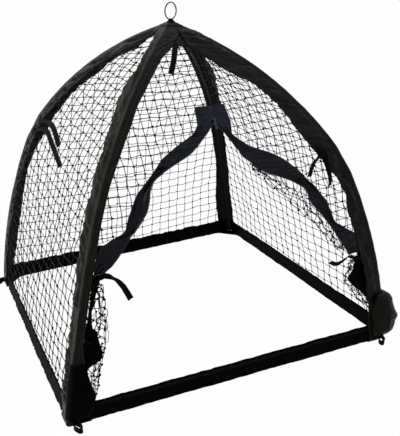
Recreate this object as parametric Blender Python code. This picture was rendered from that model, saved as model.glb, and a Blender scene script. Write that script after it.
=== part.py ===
import math

import bpy
import bmesh
import numpy as np

for old in list(bpy.data.objects):
    bpy.data.objects.remove(old, do_unlink=True)

# Stance of the cage: a square on the ground with small shifts, because the bands between the feet are slack
BASE_SIDE = 0.610
PEAK_HEIGHT = 0.5869
HUB_X = 0.0040
LEG_NAMES = ("front_left", "front_right", "back_right", "back_left")
LEG_AZIMUTH = (-135, -45, 45, 135)
FOOT_SHIFT_X = (-0.021, 0.0, -0.001, 0.002)
FOOT_SHIFT_Y = (0.011, -0.003, 0.004, -0.021)
SIDE_BOW = (0.011, 0.003, 0.017, -0.002)
SIDE_NAMES = ("front", "right", "back", "left")

# Slope of the poles in degrees below the horizontal
HUB_SLOPE = 19.9
FERRULE_SLOPE = 57.8
FOOT_SLOPE = 85.4
FERRULE_KINK = 7.07
SOCKET_RUN = 0.038
FERRULE_RUN = 0.056
ARC_STEPS = 9

# Poles and plastic fittings
ROD_RADIUS = 0.0025
BORE_CLEARANCE = 0.00025
FITTING_RADIUS = 0.0040
FERRULE_LENGTH = 0.050
ROD_GAP = 0.001
SOCKET_LENGTH = 0.0365
SOCKET_BOTTOM = 0.0095
ROD_TOP = 0.0102
TUNNEL_START = 0.0145
BOSS_RADIUS = 0.0085
BOSS_HEIGHT = 0.020
TIP_LENGTH = 0.016
TIP_FLOOR = 0.0025

# Fabric
GAP = 0.0003
FABRIC = 0.0012
TUNNEL_CLEARANCE = 0.0005
FLANGE_WIDTH = 0.032
FLANGE_LEAST = 0.013
FLANGE_SEAM = 0.0006
BAND_HEIGHT = 0.034
BAND_THICKNESS = 0.0016
SOLE_THICKNESS = 0.0012
SOLE_SIDE = 0.036
NET_THICKNESS = 0.0010
NET_TUCK = 0.007
NET_BAR = 0.004
OPENINGS_ACROSS = 5
OPENINGS_DOWN = 6
NET_SAG = 0.006
CAP_LENGTH = 0.0205

# Door: heights as shares of the peak's height, and shares of the face's width from the front left leg
TAPE_THICKNESS = 0.0014
ZIP_SEAM = 0.0016
ZIP_TOP = 0.787
ZIP_VERTEX = 0.7446
ZIP_SPLIT = 0.475
TAPE_TUCK = 0.006
LEFT_TAPE_HEIGHT = (0.7054, 0.6747, 0.6475, 0.6270, 0.5929, 0.5555, 0.5180, 0.4805, 0.4294)
LEFT_TAPE_OUTER = (0.290, 0.210, 0.182, 0.160, 0.120, 0.108, 0.098, 0.044, 0.038)
LEFT_TAPE_INNER = (0.398, 0.340, 0.240, 0.190, 0.174, 0.172, 0.152, 0.104, 0.070)
RIGHT_TAPE_HEIGHT = (0.7054, 0.6781, 0.6509, 0.6236, 0.5964, 0.5725, 0.5418, 0.4941, 0.4226, 0.3783, 0.3135)
RIGHT_TAPE_OUTER = (0.545, 0.600, 0.690, 0.750, 0.782, 0.802, 0.830, 0.862, 0.872, 0.920, 0.924)
RIGHT_TAPE_INNER = (0.526, 0.548, 0.568, 0.600, 0.648, 0.740, 0.790, 0.794, 0.850, 0.868, 0.900)
LEFT_TAPE_TOP = 0.385
RIGHT_TAPE_TOP = 0.565
SLIDER_WIDTH = 0.0076
SLIDER_LENGTH = 0.0090
SLIDER_PLATE = 0.0010
PULL_LENGTH = 0.015
PULL_WIDTH = 0.0048
PULL_THICKNESS = 0.0011
BAR = 0.0009

# Small tapes, loops and the ring
TIE_WIDTH = 0.010
TIE_THICKNESS = 0.0009
PEG_DIRECTION = (-77, -125, 45, -155)
PEG_BESIDE = 0.005
PEG_LENGTH = 0.025
PEG_HEIGHT = 0.010
RING_DIAMETER = 0.034
WIRE_RADIUS = 0.0010
RING_AZIMUTH = 22.9
TAB_WIDTH = 0.010

SKIN = FITTING_RADIUS + TUNNEL_CLEARANCE + FABRIC
TUNNEL = FITTING_RADIUS + TUNNEL_CLEARANCE
BORE = ROD_RADIUS + BORE_CLEARANCE
FOOT_Z = SOLE_THICKNESS + GAP
BAND_TOP = FOOT_Z + BAND_HEIGHT
NET_OUT = SKIN - FABRIC - GAP
UP = np.array([0.0, 0.0, 1.0])


def unit(v):
    return v / np.linalg.norm(v)


def material(name, colour, roughness, metallic=0.0):
    found = bpy.data.materials.get(name)
    if found:
        return found
    made = bpy.data.materials.new(name)
    made.use_nodes = True
    shader = made.node_tree.nodes["Principled BSDF"]
    shader.inputs["Base Color"].default_value = (*colour, 1.0)
    shader.inputs["Roughness"].default_value = roughness
    shader.inputs["Metallic"].default_value = metallic
    made.diffuse_color = (*colour, 1.0)
    return made


def solid(name, points, faces, look):
    mesh = bpy.data.meshes.new(name)
    mesh.from_pydata([tuple(map(float, p)) for p in points], [], [tuple(f) for f in faces])
    mesh.materials.append(look)
    work = bmesh.new()
    work.from_mesh(mesh)
    bmesh.ops.recalc_face_normals(work, faces=work.faces[:])
    work.to_mesh(mesh)
    work.free()
    made = bpy.data.objects.new(name, mesh)
    bpy.context.scene.collection.objects.link(made)
    return made


def loft(name, rings, look, around=False):
    count = len(rings[0])
    points = [p for ring in rings for p in ring]
    faces = []
    for r in range(len(rings) - (0 if around else 1)):
        a = r * count
        b = ((r + 1) % len(rings)) * count
        for k in range(count):
            m = (k + 1) % count
            faces.append((a + k, a + m, b + m, b + k))
    if not around:
        faces.append(tuple(range(count)))
        faces.append(tuple(reversed(range(len(points) - count, len(points)))))
    return solid(name, points, faces, look)


def shell(name, outer, inner, look, missing=()):
    rows, columns = len(outer), len(outer[0])
    points = [p for row in outer for p in row] + [p for row in inner for p in row]
    half = rows * columns
    cells = []
    for r in range(rows - 1):
        for c in range(columns - 1):
            if (r, c) not in missing:
                a = r * columns + c
                cells.append((a, a + 1, a + columns + 1, a + columns))
    used = {}
    for cell in cells:
        for k in range(4):
            a, b = cell[k], cell[(k + 1) % 4]
            used[(min(a, b), max(a, b))] = used.get((min(a, b), max(a, b)), []) + [(a, b)]
    faces = list(cells)
    faces += [tuple(half + v for v in reversed(cell)) for cell in cells]
    for ends in used.values():
        if len(ends) == 1:
            a, b = ends[0]
            faces.append((b, a, half + a, half + b))
    keep = sorted({v for face in faces for v in face})
    place = {v: n for n, v in enumerate(keep)}
    return solid(name, [points[v] for v in keep], [tuple(place[v] for v in f) for f in faces], look)


def ribbon(name, path, across, width, thickness, look, around=False):
    path = [np.array(p, float) for p in path]
    count = len(path)
    rings = []
    for k in range(count):
        before = path[k - 1] if around or k else path[0]
        after = path[(k + 1) % count] if around or k < count - 1 else path[-1]
        along = unit(after - before)
        side = across[k] if isinstance(across, list) else across
        side = unit(side - along * (side @ along))
        up = np.cross(side, along)
        corners = ((-1, -1), (1, -1), (1, 1), (-1, 1))
        rings.append([path[k] + side * width / 2 * a + up * thickness / 2 * b for a, b in corners])
    return loft(name, rings, look, around)


def boxes(name, centre, axes, blocks, look):
    made = None
    for n, (low, high) in enumerate(blocks):
        corners = []
        for k in range(8):
            at = [(high if k >> axis & 1 else low)[axis] for axis in range(3)]
            corners.append(centre + axes[0] * at[0] + axes[1] * at[1] + axes[2] * at[2])
        sides = ((0, 1, 3, 2), (4, 6, 7, 5), (0, 4, 5, 1), (2, 3, 7, 6), (0, 2, 6, 4), (1, 5, 7, 3))
        block = solid(name if n == 0 else name + "_block_" + str(n), corners, sides, look)
        if n == 0:
            made = block
            continue
        block.hide_render = True
        block.display_type = "WIRE"
        joined = made.modifiers.new("block", "BOOLEAN")
        joined.operation = "UNION"
        joined.solver = "EXACT"
        joined.object = block
    return made


# Leg curve: socket, upper bend, ferrule with a slight kink at each end, lower bend

def leg_curve(leg):
    azimuth = math.radians(LEG_AZIMUTH[leg])
    outward = np.array([math.cos(azimuth), math.sin(azimuth), 0.0])
    sideways = np.array([-outward[1], outward[0], 0.0])
    corner_x = math.copysign(BASE_SIDE / 2, outward[0]) + FOOT_SHIFT_X[leg]
    corner_y = math.copysign(BASE_SIDE / 2, outward[1]) + FOOT_SHIFT_Y[leg]
    corner = np.array([corner_x, corner_y, 0.0])
    reach, lateral = corner @ outward, corner @ sideways
    start, middle, end, kink = (math.radians(a) for a in (HUB_SLOPE, FERRULE_SLOPE, FOOT_SLOPE, FERRULE_KINK))
    over, under = middle - kink, middle + kink
    sin, cos = math.sin, math.cos
    system = [
        [sin(over) - sin(start), sin(end) - sin(under)],
        [cos(start) - cos(over), cos(under) - cos(end)],
    ]
    right = [
        reach - SOCKET_RUN * cos(start) - FERRULE_RUN * cos(middle),
        PEAK_HEIGHT - SOCKET_RUN * sin(start) - FERRULE_RUN * sin(middle),
    ]
    upper, lower = np.linalg.solve(system, right)
    total = SOCKET_RUN + upper * (over - start) + FERRULE_RUN + lower * (end - under)
    found = []

    def add(length, r, z, slope, upright=False):
        share = length / total
        side = lateral * share**2 + SIDE_BOW[leg] * 4 * share * (1 - share)
        turn = 0 if upright else (2 * lateral * share + 4 * SIDE_BOW[leg] * (1 - 2 * share)) / total
        place = np.array([HUB_X, 0, 0]) + outward * r + sideways * side + UP * z
        along = unit(outward * cos(slope) + sideways * turn - UP * sin(slope))
        normal = outward * sin(slope) + UP * cos(slope)
        normal = unit(normal - along * (normal @ along))
        found.append((place - normal * SKIN, along, normal))

    for length in (TUNNEL_START, SOCKET_RUN):
        add(length, length * cos(start), PEAK_HEIGHT - length * sin(start), start)
    r0, z0, l0 = SOCKET_RUN * cos(start), PEAK_HEIGHT - SOCKET_RUN * sin(start), SOCKET_RUN
    for k in range(1, ARC_STEPS + 1):
        angle = start + (over - start) * k / ARC_STEPS
        r, z = r0 + upper * (sin(angle) - sin(start)), z0 - upper * (cos(start) - cos(angle))
        add(l0 + upper * (angle - start), r, z, angle + (kink / 2 if k == ARC_STEPS else 0))
    l0 += upper * (over - start) + FERRULE_RUN
    r0, z0 = r + FERRULE_RUN * cos(middle), z - FERRULE_RUN * sin(middle)
    add(l0, r0, z0, middle + kink / 2)
    top = math.acos(cos(under) - (z0 - BAND_TOP) / lower)
    for k in range(1, ARC_STEPS + 1):
        angle = under + (top - under) * k / ARC_STEPS
        r, z = r0 + lower * (sin(angle) - sin(under)), z0 - lower * (cos(under) - cos(angle))
        add(l0 + lower * (angle - under), r, z, angle)
    angle = math.acos(cos(under) - (z0 - FOOT_Z) / lower)
    r, z = r0 + lower * (sin(angle) - sin(under)), z0 - lower * (cos(under) - cos(angle))
    add(l0 + lower * (angle - under), r, z, math.pi / 2, upright=True)
    return found


CURVES = [leg_curve(leg) for leg in range(4)]
LAST = len(CURVES[0]) - 1
NET_FROM = 2
NET_TO = LAST - 1
OPEN_FROM = 3
FERRULE_FROM = 1 + ARC_STEPS
SOCKET_STEP = SOCKET_RUN - TUNNEL_START


def frame(leg, q):
    """Pole axis, direction and outward normal at station q, straight between stations."""
    a = min(max(int(math.floor(q)), 0), LAST - 1)
    share = q - a
    first, second = CURVES[leg][a], CURVES[leg][a + 1]
    place = first[0] + (second[0] - first[0]) * share
    along = unit(first[1] + (second[1] - first[1]) * share)
    normal = first[2] + (second[2] - first[2]) * share
    return place, along, unit(normal - along * (normal @ along))


def face_frame(side, q):
    """The face between two legs: both axis points, the direction across and the outward normal."""
    here, there = frame(side, q), frame((side + 1) % 4, q)
    across = unit(there[0] - here[0])
    normals = [np.cross(across, f[1]) for f in (here, there)]
    outward = [unit(n if n @ f[2] > 0 else -n) for n, f in zip(normals, (here, there))]
    return here[0], there[0], across, unit(outward[0] + outward[1])


# The sleeves have slipped round their poles, so a flange's share of FLANGE_WIDTH changes with the height,
# which is a share of the peak's. A flange that isn't named here has its full width all the way.
FLANGE_SHARES = {
    (0, 1): ((0.82, 0.41), (0.95, 1.0)),
    (0, 3): ((0.31, 0.88), (0.44, 1.16), (0.82, 1.22), (0.87, 0.56)),
    (1, 0): ((0.45, 1.0), (0.50, 0.80), (0.54, 0.95), (0.62, 1.35), (0.69, 1.35), (0.77, 1.12), (0.82, 1.16),
             (0.86, 1.64), (0.93, 1.64)),
    (2, 1): ((0.25, 0.41), (0.50, 0.56), (0.70, 0.94), (0.78, 1.30), (0.82, 0.94), (0.90, 0.41)),
    (2, 3): ((0.18, 0.88), (0.26, 0.63), (0.35, 0.41)),
}


def flange_width(leg, towards, q):
    place, along, _ = frame(leg, q)
    heights, shares = zip(*FLANGE_SHARES.get((leg, towards), ((0.0, 1.0),)))
    width = max(FLANGE_WIDTH * np.interp(place[2] / PEAK_HEIGHT, heights, shares), FLANGE_LEAST)
    chord = frame(towards, q)[0] - place
    across = unit(chord)
    skew = np.linalg.norm(across - along * (across @ along))
    return min(np.linalg.norm(chord) / 2 - FLANGE_SEAM / 2, width / skew), skew


def face_point(side, q, share, depth):
    here, there, _, outward = face_frame(side, q)
    return here + (there - here) * share + outward * depth


def station_of(side, height, share=0.5):
    """The station of a face at a height, as a share of the peak's height, and at a share of its width."""
    stations = np.arange(LAST + 1)
    heights = [face_point(side, q, share, NET_OUT)[2] for q in stations]
    return float(np.interp(-height * PEAK_HEIGHT, [-h for h in heights], stations))


def between(low, high):
    return [low] + [q for q in range(LAST + 1) if low + 0.02 < q < high - 0.02] + [high]


def circle(leg, q, radius, sides=8):
    place, _, normal = frame(leg, q)
    side = np.cross(normal, frame(leg, q)[1])
    turns = [2 * math.pi * (k + 0.5) / sides for k in range(sides)]
    return [place + radius * (normal * math.cos(a) + side * math.sin(a)) for a in turns]


# Poles: upper and lower rods, ferrules, tips

POLE = material("anthracite_fibreglass", (0.030, 0.031, 0.033), 0.45)
SLEEVE_METAL = material("zinc_plated_steel_ferrule", (0.42, 0.43, 0.44), 0.35, 1.0)
NYLON = material("black_nylon", (0.012, 0.012, 0.013), 0.5)
POLYESTER = material("black_polyester_sleeve", (0.020, 0.020, 0.023), 0.62)
BAND_CLOTH = material("black_polyester_band", (0.010, 0.010, 0.014), 0.60)
NETTING = material("black_netting", (0.012, 0.012, 0.013), 0.7)
WEBBING = material("black_webbing", (0.010, 0.010, 0.011), 0.8)
NICKEL = material("nickel_plated_wire", (0.55, 0.54, 0.52), 0.25, 1.0)

socket_q = (SOCKET_LENGTH - TUNNEL_START) / SOCKET_STEP
for leg, name in enumerate(LEG_NAMES):
    run = FERRULE_FROM
    middle = run + 0.5
    half_ferrule = FERRULE_LENGTH / FERRULE_RUN / 2
    half_gap = ROD_GAP / FERRULE_RUN / 2
    top_q = (ROD_TOP - TUNNEL_START) / SOCKET_STEP
    upper = [circle(leg, q, ROD_RADIUS) for q in between(top_q, middle - half_gap)]
    loft("rod_upper_" + name, upper, POLE)
    foot_step = np.linalg.norm(frame(leg, LAST)[0] - frame(leg, LAST - 1)[0])
    tip_bottom = LAST - 2 * GAP / foot_step
    bore_bottom = tip_bottom - TIP_FLOOR / foot_step
    rod_bottom = bore_bottom - GAP / foot_step
    tip_top = tip_bottom - TIP_LENGTH / foot_step
    lower = [circle(leg, q, ROD_RADIUS) for q in between(middle + half_gap, rod_bottom)]
    loft("rod_lower_" + name, lower, POLE)
    low, high = middle - half_ferrule, middle + half_ferrule
    tube = ((low, FITTING_RADIUS), (high, FITTING_RADIUS), (high, BORE), (low, BORE))
    loft("ferrule_" + name, [circle(leg, q, r) for q, r in tube], SLEEVE_METAL, around=True)
    cup = ((tip_bottom, FITTING_RADIUS), (tip_top, FITTING_RADIUS), (tip_top, BORE), (bore_bottom, BORE))
    loft("rod_tip_" + name, [circle(leg, q, r) for q, r in cup], NYLON)

# Hub: a boss with four sockets that leave it at the poles' first slope

boss_top = PEAK_HEIGHT - BOSS_RADIUS * math.tan(math.radians(HUB_SLOPE)) * math.sqrt(2)
turns = [2 * math.pi * (k + 0.5) / 12 for k in range(12)]
boss = [
    [np.array([HUB_X + BOSS_RADIUS * math.cos(a), BOSS_RADIUS * math.sin(a), z]) for a in turns]
    for z in (boss_top - BOSS_HEIGHT, boss_top)
]
hub = loft("hub", boss, NYLON)
inside_q = (BOSS_RADIUS * 0.45 - TUNNEL_START) / SOCKET_STEP
bottom_q = (SOCKET_BOTTOM - TUNNEL_START) / SOCKET_STEP
sockets = ("UNION", FITTING_RADIUS, inside_q, socket_q)
bores = ("DIFFERENCE", BORE, bottom_q, 1.2)
for operation, radius, low, high in (sockets, bores):
    for leg, name in enumerate(LEG_NAMES):
        ends = [circle(leg, low, radius), circle(leg, high, radius)]
        piece = loft("hub_" + operation.lower() + "_" + name, ends, NYLON)
        piece.hide_render = True
        piece.display_type = "WIRE"
        cut = hub.modifiers.new(piece.name, "BOOLEAN")
        cut.operation = operation
        cut.solver = "EXACT"
        cut.object = piece

# Leg sleeves: a strip folded over the pole, with a sewn channel and a flange along each face

INNER_CORNER = math.acos((SKIN - FABRIC) / SKIN)


def section_angles(leg, q):
    place, along, normal = frame(leg, q)
    side = np.cross(normal, along)
    ahead = face_frame(leg, q)[3]
    behind = face_frame((leg - 1) % 4, q)[3]
    if side @ ahead < 0:
        side = -side
    turn_ahead = math.atan2(ahead @ side, ahead @ normal)
    turn_behind = math.atan2(behind @ side, behind @ normal)
    ridge = np.linspace(turn_behind, turn_ahead, 5)
    under = np.linspace(turn_ahead + INNER_CORNER, 2 * math.pi + turn_behind - INNER_CORNER, 7)
    return place, normal, side, ridge, under


def sleeve_section(leg, q):
    place, normal, side, ridge, under = section_angles(leg, q)

    def at(angle, radius):
        return place + radius * (normal * math.cos(angle) + side * math.sin(angle))

    following, previous = (leg + 1) % 4, (leg - 1) % 4
    ahead, behind = face_frame(leg, q), face_frame(previous, q)
    reach_ahead = flange_width(leg, following, q)[0]
    reach_behind = flange_width(leg, previous, q)[0]
    outer = [at(a, SKIN) for a in ridge]
    outer += [place + ahead[3] * d + ahead[2] * reach_ahead for d in (SKIN, SKIN - FABRIC)]
    outer += [at(a, SKIN) for a in under]
    outer += [place + behind[3] * d - behind[2] * reach_behind for d in (SKIN - FABRIC, SKIN)]
    hole = [at(a, TUNNEL) for a in list(ridge) + list(under)]
    return outer + hole


def sleeve_faces(rings):
    count, faces = 28, []
    for r in range(rings - 1):
        a, b = r * count, (r + 1) * count
        for k in range(16):
            m = (k + 1) % 16
            faces.append((a + k, a + m, b + m, b + k))
        for k in range(12):
            m = (k + 1) % 12
            faces.append((a + 16 + m, a + 16 + k, b + 16 + k, b + 16 + m))
    cap = [(k, k + 1, 17 + k, 16 + k) for k in range(4)]
    cap += [(4, 5, 6, 7), (4, 7, 21, 20)]
    cap += [(k, k + 1, 15 + k, 14 + k) for k in range(7, 13)]
    cap += [(13, 14, 15, 0), (13, 0, 16, 27)]
    end = (rings - 1) * count
    faces += [tuple(reversed(face)) for face in cap]
    faces += [tuple(end + v for v in face) for face in cap]
    return faces


for leg, name in enumerate(LEG_NAMES):
    sections = [sleeve_section(leg, q) for q in range(LAST + 1)]
    points = [p for section in sections for p in section]
    solid("leg_sleeve_" + name, points, sleeve_faces(len(sections)), POLYESTER)


# Peak cap: a small square patch over the four sleeves' upper ends

def cap_ring(q, depth):
    ring = []
    for leg in range(4):
        place, normal, side, ridge, _ = section_angles(leg, q)
        ring += [place + (SKIN + depth) * (normal * math.cos(a) + side * math.sin(a)) for a in ridge]
    return ring


cap_stations = ((CAP_LENGTH - TUNNEL_START) / SOCKET_STEP, 0.0, -0.30)
inside = [cap_ring(q, GAP) for q in cap_stations]
outside = [cap_ring(q, GAP + FABRIC) for q in reversed(cap_stations)]
rings = list(reversed(inside)) + list(reversed(outside))
for ring in (rings[0], rings[-1]):
    level = max(p[2] for p in ring)
    for p in ring:
        p[2] = level
loft("peak_cap", rings, POLYESTER)
cap_top = rings[-1][0][2]

# Ring tab and the ring that stands in it

turn = math.radians(RING_AZIMUTH)
along_ring = np.array([math.cos(turn), math.sin(turn), 0.0])
across_ring = np.array([-math.sin(turn), math.cos(turn), 0.0])
ring_radius = RING_DIAMETER / 2 - WIRE_RADIUS
wire_rise = (TAB_WIDTH / 2) ** 2 / (2 * ring_radius)
tab_base = cap_top + GAP
wire_z = tab_base + FABRIC + GAP + WIRE_RADIUS
hole_half = WIRE_RADIUS + wire_rise + GAP
hole_top = wire_z + WIRE_RADIUS + wire_rise + GAP
wall = FABRIC


def tab_loop(grow, low, high, offset):
    half = hole_half + grow
    shape = ((-half, low), (half, low), (half, high - half * 0.6), (half * 0.55, high), (-half * 0.55, high),
             (-half, high - half * 0.6))
    middle = np.array([HUB_X, 0, 0]) + along_ring * offset
    return [middle + across_ring * x + UP * z for x, z in shape]


half_tab = TAB_WIDTH / 2
tab_rings = [
    tab_loop(wall, tab_base, hole_top + wall, -half_tab),
    tab_loop(wall, tab_base, hole_top + wall, half_tab),
    tab_loop(0, tab_base + wall, hole_top, half_tab),
    tab_loop(0, tab_base + wall, hole_top, -half_tab),
]
loft("ring_tab", tab_rings, WEBBING, around=True)

ring_centre = np.array([HUB_X, 0, wire_z + ring_radius])
ring_sections = []
for k in range(28):
    a = 2 * math.pi * k / 28
    radial = along_ring * math.cos(a) + UP * math.sin(a)
    turns = [2 * math.pi * (j + 0.5) / 6 for j in range(6)]
    core = ring_centre + radial * ring_radius
    spokes = [radial * math.cos(b) + across_ring * math.sin(b) for b in turns]
    ring_sections.append([core + WIRE_RADIUS * spoke for spoke in spokes])
peak_ring = loft("peak_ring", ring_sections, NICKEL, around=True)


# Net panels and base bands between the legs

def net_edges(side, q):
    here, there, _, _ = face_frame(side, q)
    chord = np.linalg.norm(there - here)
    first, skew_first = flange_width(side, (side + 1) % 4, q)
    second, skew_second = flange_width((side + 1) % 4, side, q)
    tuck = (first - NET_TUCK / skew_first) / chord, 1 - (second - NET_TUCK / skew_second) / chord
    return tuck[0], first / chord, 1 - second / chord, tuck[1]


def net_depth(side, q, share):
    _, left, right, _ = net_edges(side, q)
    inside = min(max((share - left) / max(right - left, 1e-6), 0), 1)
    run = (q - NET_FROM) / (NET_TO - NET_FROM)
    return NET_OUT - NET_SAG * math.sin(math.pi * inside) ** 2 * math.sin(math.pi * run)


def net_rows(side, stations, shares_at):
    outer, inner = [], []
    for q in stations:
        depths = [(t, net_depth(side, q, t)) for t in shares_at(q)]
        outer.append([face_point(side, q, t, d) for t, d in depths])
        inner.append([face_point(side, q, t, d - NET_THICKNESS) for t, d in depths])
    return outer, inner


def chord_of(side, q):
    here, there, _, _ = face_frame(side, q)
    return np.linalg.norm(there - here)


def barred(low, high, count, bar):
    """Ends of a row of openings between low and high, with bars between them."""
    pitch = (high - low + bar) / count
    return [low + pitch * (k // 2) + (pitch - bar) * (k % 2) for k in range(2 * count)]


band_step = np.linalg.norm(frame(0, LAST)[0] - frame(0, LAST - 1)[0])
net_bottom = NET_TO - 4 * GAP / band_step
bar_rise = NET_BAR / np.linalg.norm(frame(0, 12)[0] - frame(0, 11)[0])
ends = barred(OPEN_FROM, net_bottom - bar_rise, OPENINGS_DOWN, bar_rise)
side_rows = [NET_FROM]
for top, bottom in zip(ends[::2], ends[1::2]):
    side_rows += [top, (top + bottom) / 2, bottom]
side_rows.append(net_bottom)
openings = [(r, 2 * c + 1) for r in range(1, len(side_rows) - 1) if r % 3 for c in range(OPENINGS_ACROSS)]
for side in (1, 2, 3):

    def shares_at(q, side=side):
        start, left, right, end = net_edges(side, q)
        bar = min(NET_BAR / chord_of(side, q), (right - left) / (2 * OPENINGS_ACROSS))
        return [start] + barred(left, right, OPENINGS_ACROSS, bar) + [end]

    outer, inner = net_rows(side, side_rows, shares_at)
    shell("net_" + SIDE_NAMES[side], outer, inner, NETTING, openings)

for side in range(4):
    outer, inner = [], []
    for q in (LAST - 1, LAST):
        here, there, _, _ = face_frame(side, q)
        start = (SKIN + GAP) / np.linalg.norm(there - here)
        shares = np.linspace(start, 1 - start, 7)
        outer.append([face_point(side, q, t, NET_OUT) for t in shares])
        inner.append([face_point(side, q, t, NET_OUT - BAND_THICKNESS) for t in shares])
    shell("base_band_" + SIDE_NAMES[side], outer, inner, BAND_CLOTH)

# Corner soles: a flat patch under each corner, which the pole tip stands on

for leg, name in enumerate(LEG_NAMES):
    place, normal, side, ridge, _ = section_angles(leg, LAST)
    ahead, behind = face_frame(leg, LAST), face_frame((leg - 1) % 4, LAST)
    plan = [place + SKIN * (normal * math.cos(a) + side * math.sin(a)) for a in ridge]
    plan.append(place + ahead[3] * SKIN + ahead[2] * SOLE_SIDE)
    plan.append(place + behind[3] * SKIN - behind[2] * SOLE_SIDE)
    flat = [[np.array([p[0], p[1], z]) for p in plan] for z in (0.0, SOLE_THICKNESS)]
    loft("corner_sole_" + name, flat, BAND_CLOTH)

# Peg loops: webbing folded in a loop, on edge just off the ground

for leg, name in enumerate(LEG_NAMES):
    place, normal, side, ridge, _ = section_angles(leg, LAST)
    pointing = math.radians(PEG_DIRECTION[leg])
    out = np.array([math.cos(pointing), math.sin(pointing), 0.0])
    aside = np.array([-out[1], out[0], 0.0])
    stem = 0.0010
    half = TIE_THICKNESS / 2 + 0.0001
    turn_out = math.atan2(out @ side, out @ normal)
    turn_kept = min(max(turn_out, ridge[0]), ridge[-1])
    root = place + (SKIN + GAP + stem + half) * (normal * math.cos(turn_kept) + side * math.sin(turn_kept))
    if turn_kept != turn_out:
        neighbour = face_frame(leg, LAST)[2] if turn_out > 0 else -face_frame((leg - 1) % 4, LAST)[2]
        root = root + neighbour * PEG_BESIDE
    root[2] = FOOT_Z + PEG_HEIGHT / 2
    long = PEG_LENGTH
    eye = ((0.42, 0.13), (0.66, 0.17), (0.86, 0.12))
    plan = [(-stem, 0), (-0.3 * stem, -stem), (0.24 * long, -stem)]
    plan += [(x * long, -y * long) for x, y in eye]
    plan.append((0.96 * long, 0))
    plan += [(x * long, y * long) for x, y in reversed(eye)]
    plan += [(0.24 * long, stem), (-0.3 * stem, stem)]
    path = [root + out * x + aside * y for x, y in plan]
    ribbon("peg_loop_" + name, path, UP, PEG_HEIGHT, 2 * half, WEBBING, True)
    print("PIVOT peg_loop_" + name, root.round(5).tolist())

# Front net: netting above the door, with a wing down to each leg that ends under the zip tapes

TAPE_IN = NET_OUT + GAP
TAPE_OUT = TAPE_IN + TAPE_THICKNESS
q_top = station_of(0, ZIP_TOP, ZIP_SPLIT)
q_vertex = station_of(0, ZIP_VERTEX, ZIP_SPLIT)
q_left = [station_of(0, h, t) for h, t in zip(LEFT_TAPE_HEIGHT, LEFT_TAPE_OUTER)]
q_right = [station_of(0, h, t) for h, t in zip(RIGHT_TAPE_HEIGHT, RIGHT_TAPE_OUTER)]


def left_outer(q):
    tops = (LEFT_TAPE_TOP, LEFT_TAPE_TOP)
    return float(np.interp(q, [q_top, q_vertex] + q_left, tops + LEFT_TAPE_OUTER))


def left_inner(q):
    seam = ZIP_SPLIT - ZIP_SEAM / 2 / chord_of(0, q)
    return float(np.interp(q, [q_vertex] + q_left, (seam,) + LEFT_TAPE_INNER)) if q > q_vertex else seam


def right_outer(q):
    tops = (RIGHT_TAPE_TOP, RIGHT_TAPE_TOP)
    return float(np.interp(q, [q_top, q_vertex] + q_right, tops + RIGHT_TAPE_OUTER))


def right_inner(q):
    seam = ZIP_SPLIT + ZIP_SEAM / 2 / chord_of(0, q)
    return float(np.interp(q, [q_vertex] + q_right, (seam,) + RIGHT_TAPE_INNER)) if q > q_vertex else seam


q_notch = q_top + 0.12


def front_shares(q):
    """Ends of two openings on each side of the doorway and of one above it, from sleeve to sleeve."""
    start, left, right, end = net_edges(0, q)
    tuck, bar = TAPE_TUCK / chord_of(0, q), NET_BAR / chord_of(0, q)
    inner_left = max(left_outer(max(q, q_notch)) + tuck, start + 0.004)
    inner_right = min(right_outer(max(q, q_notch)) - tuck, end - 0.004)
    left = min(left, (start + inner_left) / 2)
    right = max(right, (end + inner_right) / 2)
    under_left = max(inner_left - tuck - bar / 2, (left + inner_left) / 2)
    under_right = min(inner_right + tuck + bar / 2, (right + inner_right) / 2)
    near = barred(left, under_left, 2, min(bar, (under_left - left) / 4))
    far = barred(under_right, right, 2, min(bar, (right - under_right) / 4))
    return [start] + near + [inner_left, inner_right] + far + [end]


wing_end = max(q_left[-2], 0)
wing_low = wing_end - 0.5
front_low = q_right[-1] - 0.35
stations = [q_notch]
for q in between(NET_FROM, front_low - 0.01) + [q_vertex] + q_right + q_left:
    apart = 0.15 if q < q_vertex else 0.07
    if q < front_low and min(abs(q - other) for other in stations) > apart:
        stations.append(q)
stations.sort()
left_last = max(n for n, q in enumerate(stations) if q <= wing_low) + 1
barred_at = {0, stations.index(q_notch), left_last, len(stations) - 1} | set(range(0, left_last, 3))
front_rows, bar_above = [], set()
for n, q in enumerate(stations):
    if n in barred_at and n > 0:
        if q - stations[n - 1] > 1.4 * bar_rise:
            front_rows.append(q - bar_rise)
        bar_above.add(len(front_rows) - 1)
    front_rows.append(q)
notch_row = front_rows.index(q_notch)
missing = [(r, 5) for r in range(notch_row, len(front_rows) - 1)]
for r, (q, q_next) in enumerate(zip(front_rows, front_rows[1:])):
    if q > wing_low:
        missing += [(r, c) for c in range(5)]
    if q < OPEN_FROM or r in bar_above:
        continue
    for c in (1, 3, 7, 9) if r >= notch_row else (1, 3, 5, 7, 9):
        wide = min((front_shares(p)[c + 1] - front_shares(p)[c]) * chord_of(0, p) for p in (q, q_next))
        if wide > NET_BAR and (r, c) not in missing:
            missing.append((r, c))
outer, inner = net_rows(0, front_rows, front_shares)
shell("net_front", outer, inner, NETTING, missing)


# Zip tapes: stiffened edge bands of the open door, closed only above the slider

def tape(name, stations, low, high):
    outer = [[face_point(0, q, t(q), TAPE_OUT) for t in (low, high)] for q in stations]
    inner = [[face_point(0, q, t(q), TAPE_IN) for t in (low, high)] for q in stations]
    return shell(name, outer, inner, BAND_CLOTH)


def tape_stations(rows):
    found = [q_top, q_vertex] + rows + [q for q in range(LAST) if q_vertex + 0.1 < q < rows[-1]]
    kept = []
    for q in sorted(found):
        if not kept or q - kept[-1] > 0.04:
            kept.append(q)
    return kept


tape("zip_tape_left", tape_stations(q_left), left_outer, left_inner)
tape("zip_tape_right", tape_stations(q_right), right_inner, right_outer)

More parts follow.
